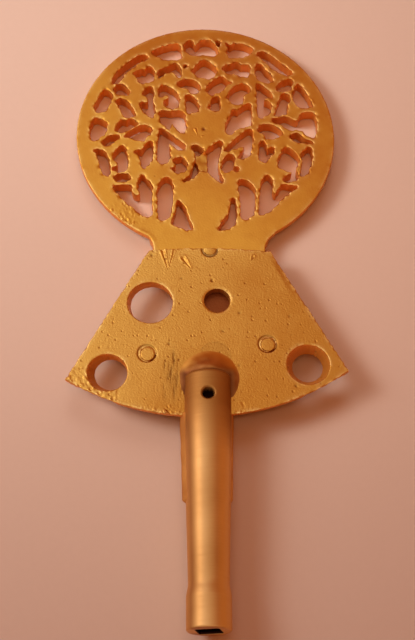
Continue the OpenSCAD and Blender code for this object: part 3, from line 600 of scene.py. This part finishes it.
def scrollwork_head():
    """The pierced head as three shells: the plate, without the solid's holes for the punch mark and the
    dowel, and the web and the strut, which are let a little into the walls of their openings."""
    rim, *cuts = face_outlines("pierced_head", HEAD_TOP)
    rim = worn_outline(rim, step=0.14, blur=0.05, shake=0.006, seed=1)
    rim = HEAD_MIDDLE + RIM_SHARE * (rim - HEAD_MIDDLE)
    filled = np.vstack([PIVOT, DOWEL])
    cuts = [cut for cut in cuts if nearest(cut.mean(axis=0)[None], filled)[0] > 0.3]
    openings = [worn_outline(cut, step=0.085, blur=0.04, shake=0.014, seed=10 + k)
                for k, cut in enumerate(cuts)]
    web = face_outlines("pierced_head", HEAD_TOP - WEB_DROP)[0]
    web = worn_outline(web, step=0.07, blur=0.03, shake=0.01, seed=9)
    web = web.mean(axis=0) + WEB_SHARE * (web - web.mean(axis=0))
    strut = worn_outline(STRUT, step=0.05, blur=0.03, shake=0.008, seed=19)
    fine = [patch((-10.2, 8.2), (-6.4, 11.2), 0.12)]
    fine += [patch((-1.5, HEAD_Y - 0.6), (0.5, HEAD_Y + 1.2), 0.07)]
    shells = [plate([rim] + openings, head_front, head_back, head_darkening, chamfer=RIM_CHAMFER, spacing=0.24,
                    extra=fine),
              plate([web], web_front, flat_back, web_shade, chamfer=0.15, spacing=0.12),
              plate([strut], strut_front, flat_back, strut_soil, chamfer=0.15, spacing=0.12)]
    places, triangles, shares = zip(*shells)
    first = np.cumsum([0] + [len(place) for place in places])
    triangle = np.vstack([shell + start for shell, start in zip(triangles, first)])
    shares = {word: np.concatenate([share[word] for share in shares]) for word in shares[0]}
    put_piece("scrollwork_head", np.vstack(places), triangle.tolist(), head_gilding, "gilt_head",
              "pierced_head", **shares)


scrollwork_head()


# Fan: holes, pin grooves, gouges and pits in a frosted face

# Curved edge of the fan: the arc's centre and radius, and the chamfer along its back
ARC_AT = np.array([-0.8, 11.69])
ARC_R = 24.7
EDGE_CHAMFER = 0.6
# Size of the outline, which stays inside the solid's, as a share of it
FAN_SHARE = 0.9985
# Bevels of the holes at the front: width, and drop per millimetre
HOLE_BEVELS = [(BLIND_HOLE, 0.2, 0.5), (RING_HOLE, 0.1, 0.6), (LEFT_HOLE, 0.1, 0.6), (RIGHT_HOLE, 0.1, 0.6)]
# Worn grooves round the pins, deeper on the upper left of the two steady pins
GROOVE_W, GROOVE_H = 0.27, 0.15
GROOVE_LEAN = np.array([-0.06, 0.06])
PIN_GROOVES = [(LEFT_PIN + GROOVE_LEAN, PIN_R), (RIGHT_PIN + GROOVE_LEAN, PIN_R)]
# Filed bevel along the upper right side: a point of that side, the way out of it, the bevel's width and
# depth, and the middle and half of its length along Y
SIDE_AT, SIDE_WAY = np.array([6.35, 5.3]), np.array([14, 6.7]) / 15.5
SIDE_W, SIDE_H, SIDE_Y, SIDE_HALF = 0.4, 0.1, 2.5, 3
# Burrs at the lower left corner and beside the pipe: place and reach
FAN_BURRS = [((-12.3, -9.6), 1.5), ((-9.2, -11), 0.9), ((-3.8, -12.8), 0.9)]
# Graver's slips: start, end, width and depth
SLIPS = [((-4.5, 5.0), (-3.95, 2.8), 0.22, 0.16), ((-3.3, 5.1), (-3.85, 2.9), 0.13, 0.12),
         ((-2.4, 4.1), (-1.65, 2.95), 0.24, 0.14), ((4.7, 4.3), (4.55, 3.9), 0.16, 0.16),
         ((-5.4, -4.7), (-5.6, -5.6), 0.1, 0.08), ((3.3, -11.5), (3.8, -12.5), 0.14, 0.1),
         ((8.7, -9.8), (8.8, -10.2), 0.1, 0.1)]
# Dents: centre, radius and depth
DOTS = [((0.5, 1.6), 0.13, 0.15), ((3.2, -2.0), 0.12, 0.07), ((-2.6, 1.8), 0.1, 0.06),
        ((1.5, -4.0), 0.11, 0.07), ((8.2, -2.3), 0.1, 0.07), ((-3.8, -5.4), 0.13, 0.08),
        ((-2.8, -7.1), 0.1, 0.06), ((8.6, -9.8), 0.12, 0.09), ((3.1, -7.7), 0.1, 0.06),
        ((-5.6, 4.4), 0.14, 0.09)]
# Small pits all over the face, and upright scores left of the pipe, where a vice or pliers slipped: X and Y
# of the middle, and half of the length
PIT_COUNT, SCORE_COUNT = 120, 34
scatter = np.random.default_rng(8)
PITS = scatter.uniform((-12, -12), (12, 5), (PIT_COUNT, 2))
PIT_SIZES = 0.04 + 0.07 * scatter.uniform(0, 1, PIT_COUNT) ** 2
SCORES = np.column_stack([scatter.normal(-3.45, 0.5, SCORE_COUNT), scatter.uniform(-11, -6.7, SCORE_COUNT),
                          scatter.uniform(0.25, 0.8, SCORE_COUNT)])
# Tide mark on the face above the braze
TIDE_AT, TIDE_R = (0.75, -6.75), 1.54


def fan_edge():
    """Outline of the fan's face, with the dowel's half hole in place of the worn groove round the dowel."""
    outline = face_outlines("fan_plate", FAN_TOP)[0]
    clear = away(outline, DOWEL) > DOWEL_R + GROOVE_W + 0.03
    first = np.flatnonzero(clear & ~np.roll(clear, 1))[0]
    outline = np.roll(outline, -first, axis=0)[np.roll(clear, -first)]
    turn = np.radians(np.linspace(13, -193, 40))
    return np.vstack([outline, DOWEL + (DOWEL_R + 0.01) * np.column_stack([np.cos(turn), np.sin(turn)])])


def fan_wear(point):
    """Radius of the fan's worn edges: uneven, but small and even round the drilled holes."""
    worn = np.clip(0.1 + 0.08 * ripple(point, 0.9, 6), 0.03, 0.25)
    for centre, radius, *_ in DRILLED:
        worn = np.where(away(point, centre) < radius + 0.3, 0.05, worn)
    return worn


def fan_bevels(point):
    """Height of the holes' bevels, of the grooves round the pins and of the filed bevel on the right side."""
    z = np.zeros(len(point))
    for (centre, radius, *_), width, steepness in HOLE_BEVELS:
        z -= steepness * np.clip(width - (away(point, centre) - radius), 0, width)
    for centre, radius in PIN_GROOVES + [(DOWEL, DOWEL_R)]:
        z -= GROOVE_H * near(away(point, centre) - radius, 0.5 * GROOVE_W, 0.4 * GROOVE_W)
    outwards = (point - SIDE_AT) @ SIDE_WAY
    filed = np.clip(1 - np.abs(point[:, 1] - SIDE_Y) / SIDE_HALF, 0, 1)
    return z - SIDE_H * np.clip(1 + outwards / SIDE_W, 0, 1) * filed


def fan_burrs(point, far):
    """Height of the burrs: ragged waves near the edge, at three places and along the curved edge."""
    burr = sum(near(away(point, at), 0, reach) for at, reach in FAN_BURRS)
    burr += 0.7 * near(ARC_R - away(point, ARC_AT), 0, 0.4) * (point[:, 0] < 4)
    return 0.06 * burr * np.exp(-far / 0.6) * ripple(point, 0.55, 11) * ripple(point, 1.2, 14)


def scored(point, width):
    """How far each point lies in the scores, as the sum of a wavering bell of the given width for each."""
    across = point[:, 0] + 0.02 * ripple(point, 1.5, 12)
    return sum(near(across, x, width) * near(point[:, 1], y, length) for x, y, length in SCORES)


def fan_front(point, far):
    """Front of the fan: worn edges, hammered unevenness, bevels, grooves, burrs, scores, slips and pits."""
    z = FAN_TOP - rounded(far, fan_wear(point))
    z += 0.003 * ripple(point, 2.6, 7) + 0.0015 * ripple(point, 0.7, 9)
    z += fan_bevels(point) + fan_burrs(point, far) - 0.02 * scored(point, 0.05)
    for start, end, width, depth in SLIPS:
        z += mark(point, start, end, width, depth)
    for centre, radius, depth in DOTS:
        z += dot(point, centre, radius, depth)
    for centre, radius in zip(PITS, PIT_SIZES):
        z += dot(point, centre, radius, 0.3 * radius)
    return z


def fan_back(point, far):
    """Back of the fan: flat, with eased edges and a chamfer along the curved one."""
    from_arc = ARC_R - away(point, ARC_AT)
    return FAN_BACK + rounded(far, 0.08) + np.clip(EDGE_CHAMFER - from_arc, 0, EDGE_CHAMFER)


def fan_dirt_and_shade(point):
    """Dirt in the scores and a stain round them, and a tide mark above the braze; painted shade in thin rings
    in the pin grooves, in the dowel's groove and on the blind hole's edge; and darker dents and pits."""
    x, y = point.T
    dark = np.minimum(0.25 * scored(point, 0.08), 0.45)
    dark += 0.16 * near(x, -3.5, 0.9) * near(y, -9.2, 2.8)
    # Painted shade: a thin dark ring in each pin groove, and a dark band in the dowel's groove
    for centre, radius in PIN_GROOVES:
        dark += 0.5 * near(away(point, centre), radius + 0.8 * GROOVE_W, 0.07)
    dark += 0.7 * near(away(point, DOWEL) - DOWEL_R, 0.5 * GROOVE_W, 0.5 * GROOVE_W)
    # Painted shade on the blind hole's edge, where its wall goes down
    dark += 0.6 * near(away(point, BLIND_HOLE[0]), BLIND_HOLE[1], 0.015)
    past_tide = away(point, TIDE_AT) - TIDE_R
    dark += (0.22 * near(past_tide, 0, 0.05) + 0.12 * (past_tide < 0)) * (y > -7.2) * (x > -0.6)
    for centre, radius, _ in DOTS:
        dark += 0.7 * near(away(point, centre), 0, radius)
    for centre, radius in zip(PITS, PIT_SIZES):
        dark += 0.25 * near(away(point, centre), 0, 0.8 * radius)
    return np.clip(dark, 0, 1)


def tapered(point):
    """Points drawn towards the middle of a tapered hole and along its slant, less with distance from its
    edge."""
    for centre, radius, less, slant in DRILLED:
        arm = point - centre
        far = np.hypot(*arm.T)[:, None]
        point = point + (slant - arm / np.maximum(far, 1e-6) * less) * np.clip(1 - (far - radius) / 1.4, 0, 1)
    return point


def drilled_fan():
    """The fan as one plate, with closer points where it is gouged, grooved and scored."""
    outlines = [FAN_SHARE * worn_outline(fan_edge(), step=0.1, blur=0.03, shake=0.01, seed=5)]
    for centre, radius, *_ in DRILLED:
        hole = circle_outline(centre, radius, 0.1)
        outlines.append(worn_outline(hole, step=0.1, blur=0.02, shake=0.006, seed=40))
    outlines += [circle_outline(centre, PIN_HOLE_R, 0.06) for centre in (LEFT_PIN, RIGHT_PIN)]
    fine = [patch((-5.1, 2.5), (-1.3, 5.4), 0.07), patch((4.2, 3.6), (5.0, 4.6), 0.07)]
    fine += [patch((0.2, 1.3), (0.8, 1.9), 0.06)]
    fine += [patch(centre - 1.1, centre + 1.1, 0.07) for centre in (LEFT_PIN, RIGHT_PIN, DOWEL)]
    fine += [patch((-4.3, -12.6), (-2.4, -5.5), 0.07)]
    place, triangle, shares = plate(outlines, fan_front, fan_back, fan_dirt_and_shade, chamfer=EDGE_CHAMFER,
                                    spacing=0.14, extra=fine, narrowed=tapered)
    put_piece("drilled_fan", place, triangle.tolist(), fan_gilding, "gilt_fan", "fan_plate", **shares)


drilled_fan()


# Pins

def filed_pin(name, centre, node):
    """A pin's profile carried round its axis: a slightly domed head, an eased edge and a plain shank."""
    turn = np.linspace(0, 2 * np.pi, 48, endpoint=False)
    radius = np.array([0.12, 0.35, 0.55, 0.63, 0.68, PIN_R, PIN_R])[:, None]
    height = np.array([0.004, 0.003, 0, -0.008, -0.03, -0.07, FAN_BACK - FAN_TOP])[:, None]
    x, y = centre[0] + radius * np.cos(turn), centre[1] + radius * np.sin(turn)
    ring = np.stack([x, y, np.broadcast_to(FAN_TOP + height, x.shape)], axis=-1)
    place, faces = swept(ring[::-1])
    put_piece(name, place, faces, fan_gilding, "filed_pin", node)


filed_pin("filed_pin_left", LEFT_PIN, "left_steady_pin")
filed_pin("filed_pin_right", RIGHT_PIN, "right_steady_pin")
eased_copy("filed_dowel", "seam_dowel", fan_gilding, "filed_pin", width=0.05, segments=2)


# Pipe

# Lengths from the pipe's fan end, radii, roundings of the two ends, and how far the surface keeps inside the
# solid's
STRAIGHT_L, TIP_L, SWELL_L = 5.5, 3.0, 1.4
WAIST_R, TIP_R = 1.92, 2.1
END_ROUND, TIP_ROUND = 0.5, 0.2
PIPE_SKIN = 0.004
# Rings from the fan end as start, end and step: closer at the rounded end, at the vent and at the swell
RING_STEPS = [(0, 0.5, 0.04), (0.5, 1.7, 0.1), (1.7, 3.5, 0.045), (3.5, 20.5, 0.3), (20.5, 22, 0.08),
              (22, 24.6, 0.3)]
# Socket: half of the square, its turn, how square its rounded corners are, and the depths of its rings
SOCKET_HALF, SOCKET_TURN, SQUARENESS = 1.125, math.radians(14), 12
SOCKET_DEPTHS = (0.05, 0.3, 1, 2.5, 5, 8)
# Vent: place, radius, bevel, and heights over the axis of its floor and of the wall that it goes through
VENT_Y = PIPE_END - 2.6
VENT_R, VENT_BEVEL, VENT_FLOOR, VENT_WALL = 0.56, 0.18, 1.2, 1
# How near the vent's edge a place has to be to be drawn to it, and how far from the edge it then lies
VENT_NEAR, VENT_OFF = 0.03, 0.012


def pipe_radius(along):
    """The pipe's radius at distances from its fan end: straight, a long taper to the waist, a cosine swell to
    the tip, and a rounded edge at each end."""
    taper_end = PIPE_L - TIP_L - SWELL_L
    radius = np.interp(along, (STRAIGHT_L, taper_end), (PIPE_R - PIPE_SKIN, WAIST_R))
    radius += (TIP_R - WAIST_R) * (1 - np.cos(np.pi * np.clip((along - taper_end) / SWELL_L, 0, 1))) / 2
    return radius - rounded(along, END_ROUND) - rounded(PIPE_L - along, TIP_ROUND)


def pipe_rings(turn):
    """Radii of the pipe's rings at each turn, their distances from the fan end, and whether each lies in the
    socket. They run down the outside, in across the tip and back up the socket, where they are a rounded
    square: the curve on which the powers of both coordinates add up to a constant."""
    tip_edge = PIPE_L - TIP_ROUND * np.linspace(1, 0, 9)
    along = np.concatenate([np.arange(*steps) for steps in RING_STEPS] + [tip_edge])
    along = np.unique(along.round(4))
    slant = turn - SOCKET_TURN
    powers = np.abs(np.cos(slant)) ** SQUARENESS + np.abs(np.sin(slant)) ** SQUARENESS
    square = SOCKET_HALF * powers ** (-1 / SQUARENESS)
    outside = np.repeat(pipe_radius(along)[:, None], len(turn), axis=1)
    rim = outside[-1]
    across_tip = [rim + (1.05 * square - rim) * share for share in (0.33, 0.67, 1.0)]
    radius = np.vstack([outside] + across_tip + [square] * len(SOCKET_DEPTHS))
    depth = np.concatenate([along, np.full(len(across_tip), PIPE_L), PIPE_L - np.array(SOCKET_DEPTHS)])
    return radius, depth, np.arange(len(depth)) >= len(along) + len(across_tip)


def with_vent(x, y, z):
    """The pipe's places with the vent sunk through the front wall, and which of them lie in it. Places near
    its edge are drawn onto two circles, one each side of the edge, those round it drop to a bevel, and those
    in it to a floor."""
    far = np.hypot(x, y - VENT_Y)
    front = z > AXIS_Z + VENT_WALL
    drawn = np.where(far < VENT_R, VENT_R - VENT_OFF, VENT_R + VENT_OFF)
    pull = np.where(front & (np.abs(far - VENT_R) < VENT_NEAR), drawn / np.maximum(far, 1e-6), 1)
    bevel = front * np.clip(VENT_BEVEL - (far - VENT_R), 0, VENT_BEVEL) * (far > VENT_R)
    sunk = front & (far < VENT_R)
    z = np.where(sunk, AXIS_Z + VENT_FLOOR, z - bevel)
    return np.stack([x * pull, VENT_Y + (y - VENT_Y) * pull, z], axis=-1), sunk


def turned_pipe():
    """The pipe carried round its axis as rings, painted near black with shade in the socket and the vent. The
    right flank and the left edge carry a painted reflection, brighter than the top."""
    turn = np.linspace(0, 2 * np.pi, 288, endpoint=False)
    radius, depth, in_socket = pipe_rings(turn)
    x, z = radius * np.cos(turn), AXIS_Z + radius * np.sin(turn)
    y = np.broadcast_to(PIPE_END - depth[:, None], x.shape)
    sections, sunk = with_vent(x, y, z)
    # Painted shade: the vent's floor and the socket are marked to go near black
    soil = np.where(sunk, 1.0, in_socket[:, None])
    # Painted reflection: a share that brightens the right flank and the left edge
    flank = np.where(np.cos(turn) > 0, (np.cos(turn) - 0.35) / 0.5, (-np.cos(turn) - 0.8) / 0.15)
    rubbed = np.broadcast_to(np.clip(flank, 0, 1), x.shape)
    place, faces = swept(sections)
    put_piece("turned_pipe", place, faces, pipe_brass, "turned_pipe", "key_pipe",
              soil=soil.ravel(), rubbed=rubbed.ravel())


turned_pipe()


# Braze

eased_copy("tongue_fillet", "tongue_braze", slot_braze, "braze", width=0.14, segments=3)

# Bead round the pipe's end: middle, radius, and half the width and the end of its valley along the pipe
BEAD_AT, BEAD_R = (0.18, -9.08), 3.0
VALLEY_HALF, VALLEY_END = 2.2, -8.7


def pipe_bead(name, node, face_z, up, seed):
    """The braze bead round the pipe's end: a bell that runs out to a thin toe, sunk where it meets the pipe
    and deepest on the right, as rings from the toe to the middle over a flat underside. Above the pipe's end
    the toe is gilt, and beside the pipe painted shade darkens the bead in the crease."""
    low, high = box_mm(node)
    height = high[2] - low[2] - 0.03
    reach = np.concatenate([[BEAD_R], np.linspace(BEAD_R, 0.05, 44)])[:, None]
    turn = np.linspace(0, 2 * np.pi, 120, endpoint=False)
    x, y = BEAD_AT[0] + reach * np.cos(turn), BEAD_AT[1] + reach * np.sin(turn)
    rise = height * np.clip(1 - (reach / BEAD_R) ** 2, 0, 1) ** 1.6 - 0.01 + 0 * turn
    beside = np.hypot(np.maximum(np.abs(x) - VALLEY_HALF, 0), np.maximum(y - VALLEY_END, 0))
    rise *= 1 - (0.4 + 0.15 * np.tanh(1.5 * x)) * near(beside, 0, 0.4)
    waves = ripple(np.column_stack([x.ravel(), y.ravel()]), 1.3, seed).reshape(rise.shape)
    rise += 0.012 * waves * np.clip(rise / 0.2, 0, 1)
    rise[0] = -0.1
    place, faces = swept(np.stack([x, y, face_z + up * rise], axis=-1)[:, ::up])
    gilt = np.clip(reach - 1.7, 0, 1) * np.clip((y - PIPE_END) / 0.8, 0, 1)
    # Painted shade in the crease beside the pipe, a little deeper on the right
    soil = (0.92 - 0.06 * np.tanh(x)) * near(beside, 0, 0.5)
    put_piece(name, place, faces, braze, "braze", node, toe=gilt.ravel(), soil=soil.ravel())


pipe_bead("braze_front", "front_pipe_braze", FAN_TOP, up=1, seed=21)
pipe_bead("braze_back", "back_pipe_braze", FAN_BACK, up=-1, seed=23)

# Filling of the saw slot: its inner face, half of its height, and the slope and roundness of its outer edge
RIB_INNER, RIB_HALF, RIB_SLOPE, RIB_ROUND = 1.32, 1.3, 0.8, 0.18


def slot_rib(name, node, side, proud, seed):
    """The braze that fills the saw slot: a bar along the pipe's side with two filed slopes that meet in a
    rounded edge, a hyperbola in section. It rises from the fan's edge, and its reach falls slowly, waves a
    little and ends in a short step."""
    low, high = box_mm(node)
    along = np.linspace(high[1], low[1], 90)
    share = (high[1] - along) / (high[1] - low[1])
    reach = PIPE_R + proud - 0.16 * share - 0.3 * proud * share
    reach -= (proud + 0.1) * np.clip((share - 0.95) / 0.05, 0, 1) ** 2
    reach += 0.012 * ripple(np.column_stack([along, 0 * along]), 2.5, seed)
    half = RIB_HALF * (0.35 + 0.65 * np.sqrt(np.clip(share / 0.09, 0, 1)))
    tall = half[:, None] * np.linspace(-1, 1, 39)
    fall = RIB_SLOPE * (np.sqrt(tall ** 2 + RIB_ROUND ** 2) - RIB_ROUND)
    out = np.maximum(reach[:, None] - fall, RIB_INNER + 0.05)
    out = np.pad(out, ((0, 0), (1, 1)), constant_values=RIB_INNER)
    tall = np.pad(tall, ((0, 0), (1, 1)), mode="edge")
    ring = np.stack([side * out, np.broadcast_to(along[:, None], out.shape), AXIS_Z + tall], axis=-1)
    place, faces = swept(ring[:, ::side])
    put_piece(name, place, faces, slot_braze, "braze", node)


slot_rib("braze_rib_left", "left_slot_fill", side=-1, proud=0.4, seed=31)
slot_rib("braze_rib_right", "right_slot_fill", side=1, proud=0.2, seed=33)


# Floor: the key lies on the back of its rim and on the pipe, a little in from the pipe's end, so the paper
# slopes up towards the head in the key's frame

REST_IN = 0.4
FLOOR_CORNERS = [(-1, -1), (1, -1), (1, 1), (-1, 1)]
floor_low = (PIPE_END - REST_IN) / 1000
floor_tilt = HEAD_BACK / (HEAD_Y + HEAD_R - RIM_CHAMFER - PIPE_END + REST_IN)
floor_mesh = bpy.data.meshes.new("paper_floor")
floor_mesh.from_pydata([(x, y, floor_tilt * (y - floor_low)) for x, y in FLOOR_CORNERS], [], [(0, 1, 2, 3)])
floor_mesh.materials.append(peach_paper())
floor = bpy.data.objects.new("paper_floor", floor_mesh)
bpy.context.scene.collection.objects.link(floor)


# Camera, solved from the head's circle, the fan's corners and the pipe's tip in the photograph

AZIMUTH, ELEVATION, ROLL = np.radians((-4.147, 65.094, 4.186))
CAMERA_AT = np.array([-3.996, -58.152, 122.374]) / 1000
FOCAL_PIXELS, FRAME_HEIGHT, SENSOR_MM = 1325, 640, 36
back_way = np.array([math.sin(AZIMUTH) * math.cos(ELEVATION), -math.cos(AZIMUTH) * math.cos(ELEVATION),
                     math.sin(ELEVATION)])
right_way = np.array([math.cos(AZIMUTH), math.sin(AZIMUTH), 0])
up_way = np.cross(back_way, right_way)
axes = np.column_stack([math.cos(ROLL) * right_way + math.sin(ROLL) * up_way,
                        math.cos(ROLL) * up_way - math.sin(ROLL) * right_way, back_way])
camera_data = bpy.data.cameras.new("camera")
camera_data.sensor_width = SENSOR_MM
camera_data.lens = FOCAL_PIXELS / FRAME_HEIGHT * SENSOR_MM
camera_data.clip_start = 0.005
camera = bpy.data.objects.new("camera", camera_data)
camera.matrix_world = Matrix.Translation(CAMERA_AT) @ Matrix(axes.tolist()).to_4x4()
bpy.context.scene.collection.objects.link(camera)
bpy.context.scene.camera = camera


# Light

def soft_lamp(name, at, aim, size, spread, energy, mirrored=False, tint=(1.0, 1.0, 1.0)):
    """A square soft light at a place in metres, turned to another, that metal mirrors or doesn't."""
    lamp = bpy.data.lights.new(name, "AREA")
    lamp.size = size
    lamp.spread = math.radians(spread)
    lamp.energy = energy
    lamp.color = tint
    holder = bpy.data.objects.new(name, lamp)
    back = np.subtract(at, aim) / np.linalg.norm(np.subtract(at, aim))
    side = np.cross((0, 1, 0), back)
    side /= np.linalg.norm(side)
    turned = Matrix(np.column_stack([side, np.cross(back, side), back]).tolist()).to_4x4()
    holder.matrix_world = Matrix.Translation(at) @ turned
    holder.visible_glossy = mirrored
    bpy.context.scene.collection.objects.link(holder)


WINDOW_AT, WINDOW_AIM = (-0.156, 0.037, 0.125), (-0.004, 0.044, 0)
soft_lamp("window_light", WINDOW_AT, WINDOW_AIM, size=0.12, spread=80, energy=0.0385)
soft_lamp("window_glint", WINDOW_AT, WINDOW_AIM, size=0.05, spread=84, energy=0.025, mirrored=True)
soft_lamp("ceiling_light", (0.0, 0.11, 0.12), (0, 0, 0), size=0.09, spread=180, energy=0.04)
soft_lamp("warm_bounce", (0.0, -0.035, 0.165), (0, 0.02, 0), size=0.06, spread=38, energy=0.0026,
          tint=(1.0, 0.58, 0.34))


# Room: what the camera and metal see differs from the warm fill that lights dull surfaces. It is pale
# overhead and towards the left and the front, and deep orange towards the right and the far side. A broad
# glow round the window draws the pipe's wide highlight.
PALE_WAY, WINDOW_WAY = (-0.6, -0.35, 0.9), (-0.51, 0.42, 0.75)
ROOM_DEEP, ROOM_PALE = (0.66, 0.3, 0.12, 1.0), (1.1, 1.05, 1.0, 1.0)
WINDOW_GLOW, WARM_FILL = (1.55, 1.7, 2.05, 1.0), (1.0, 0.3, 0.09, 1.0)

world = bpy.data.worlds.new("studio")
bpy.context.scene.world = world
world.use_nodes = True
tree = world.node_tree
tree.nodes.clear()
rays = add(tree, "LightPath").outputs
mirrored = add(tree, "Math", {0: rays["Is Glossy Ray"], 1: rays["Is Transmission Ray"]}, operation="MAXIMUM")
seen = add(tree, "Math", {0: rays["Is Camera Ray"], 1: mirrored}, operation="MAXIMUM")
sky = add(tree, "TexCoord").outputs["Generated"]
facing = add(tree, "VectorMath", {0: sky, 1: PALE_WAY}, operation="DOT_PRODUCT").outputs["Value"]
paleness = add(tree, "MapRange", {"Value": facing, "From Min": 0.2, "From Max": 0.8})
room_tone = add(tree, "MixRGB", {"Fac": paleness, "Color1": ROOM_DEEP, "Color2": ROOM_PALE})
towards = add(tree, "VectorMath", {0: sky, 1: WINDOW_WAY}, operation="DOT_PRODUCT").outputs["Value"]
glow = add(tree, "MapRange", {"Value": towards, "From Min": 0.84, "From Max": 0.97},
           interpolation_type="SMOOTHSTEP")
sky_tone = add(tree, "MixRGB", {"Fac": glow, "Color1": room_tone, "Color2": WINDOW_GLOW})
room = add(tree, "Background", {"Color": sky_tone, "Strength": 1.0})
fill = add(tree, "Background", {"Color": WARM_FILL, "Strength": 0.3})
both = add(tree, "MixShader", {0: seen, 1: fill, 2: room})
add(tree, "OutputWorld", {"Surface": both})

bpy.context.scene.view_settings.view_transform = "Standard"
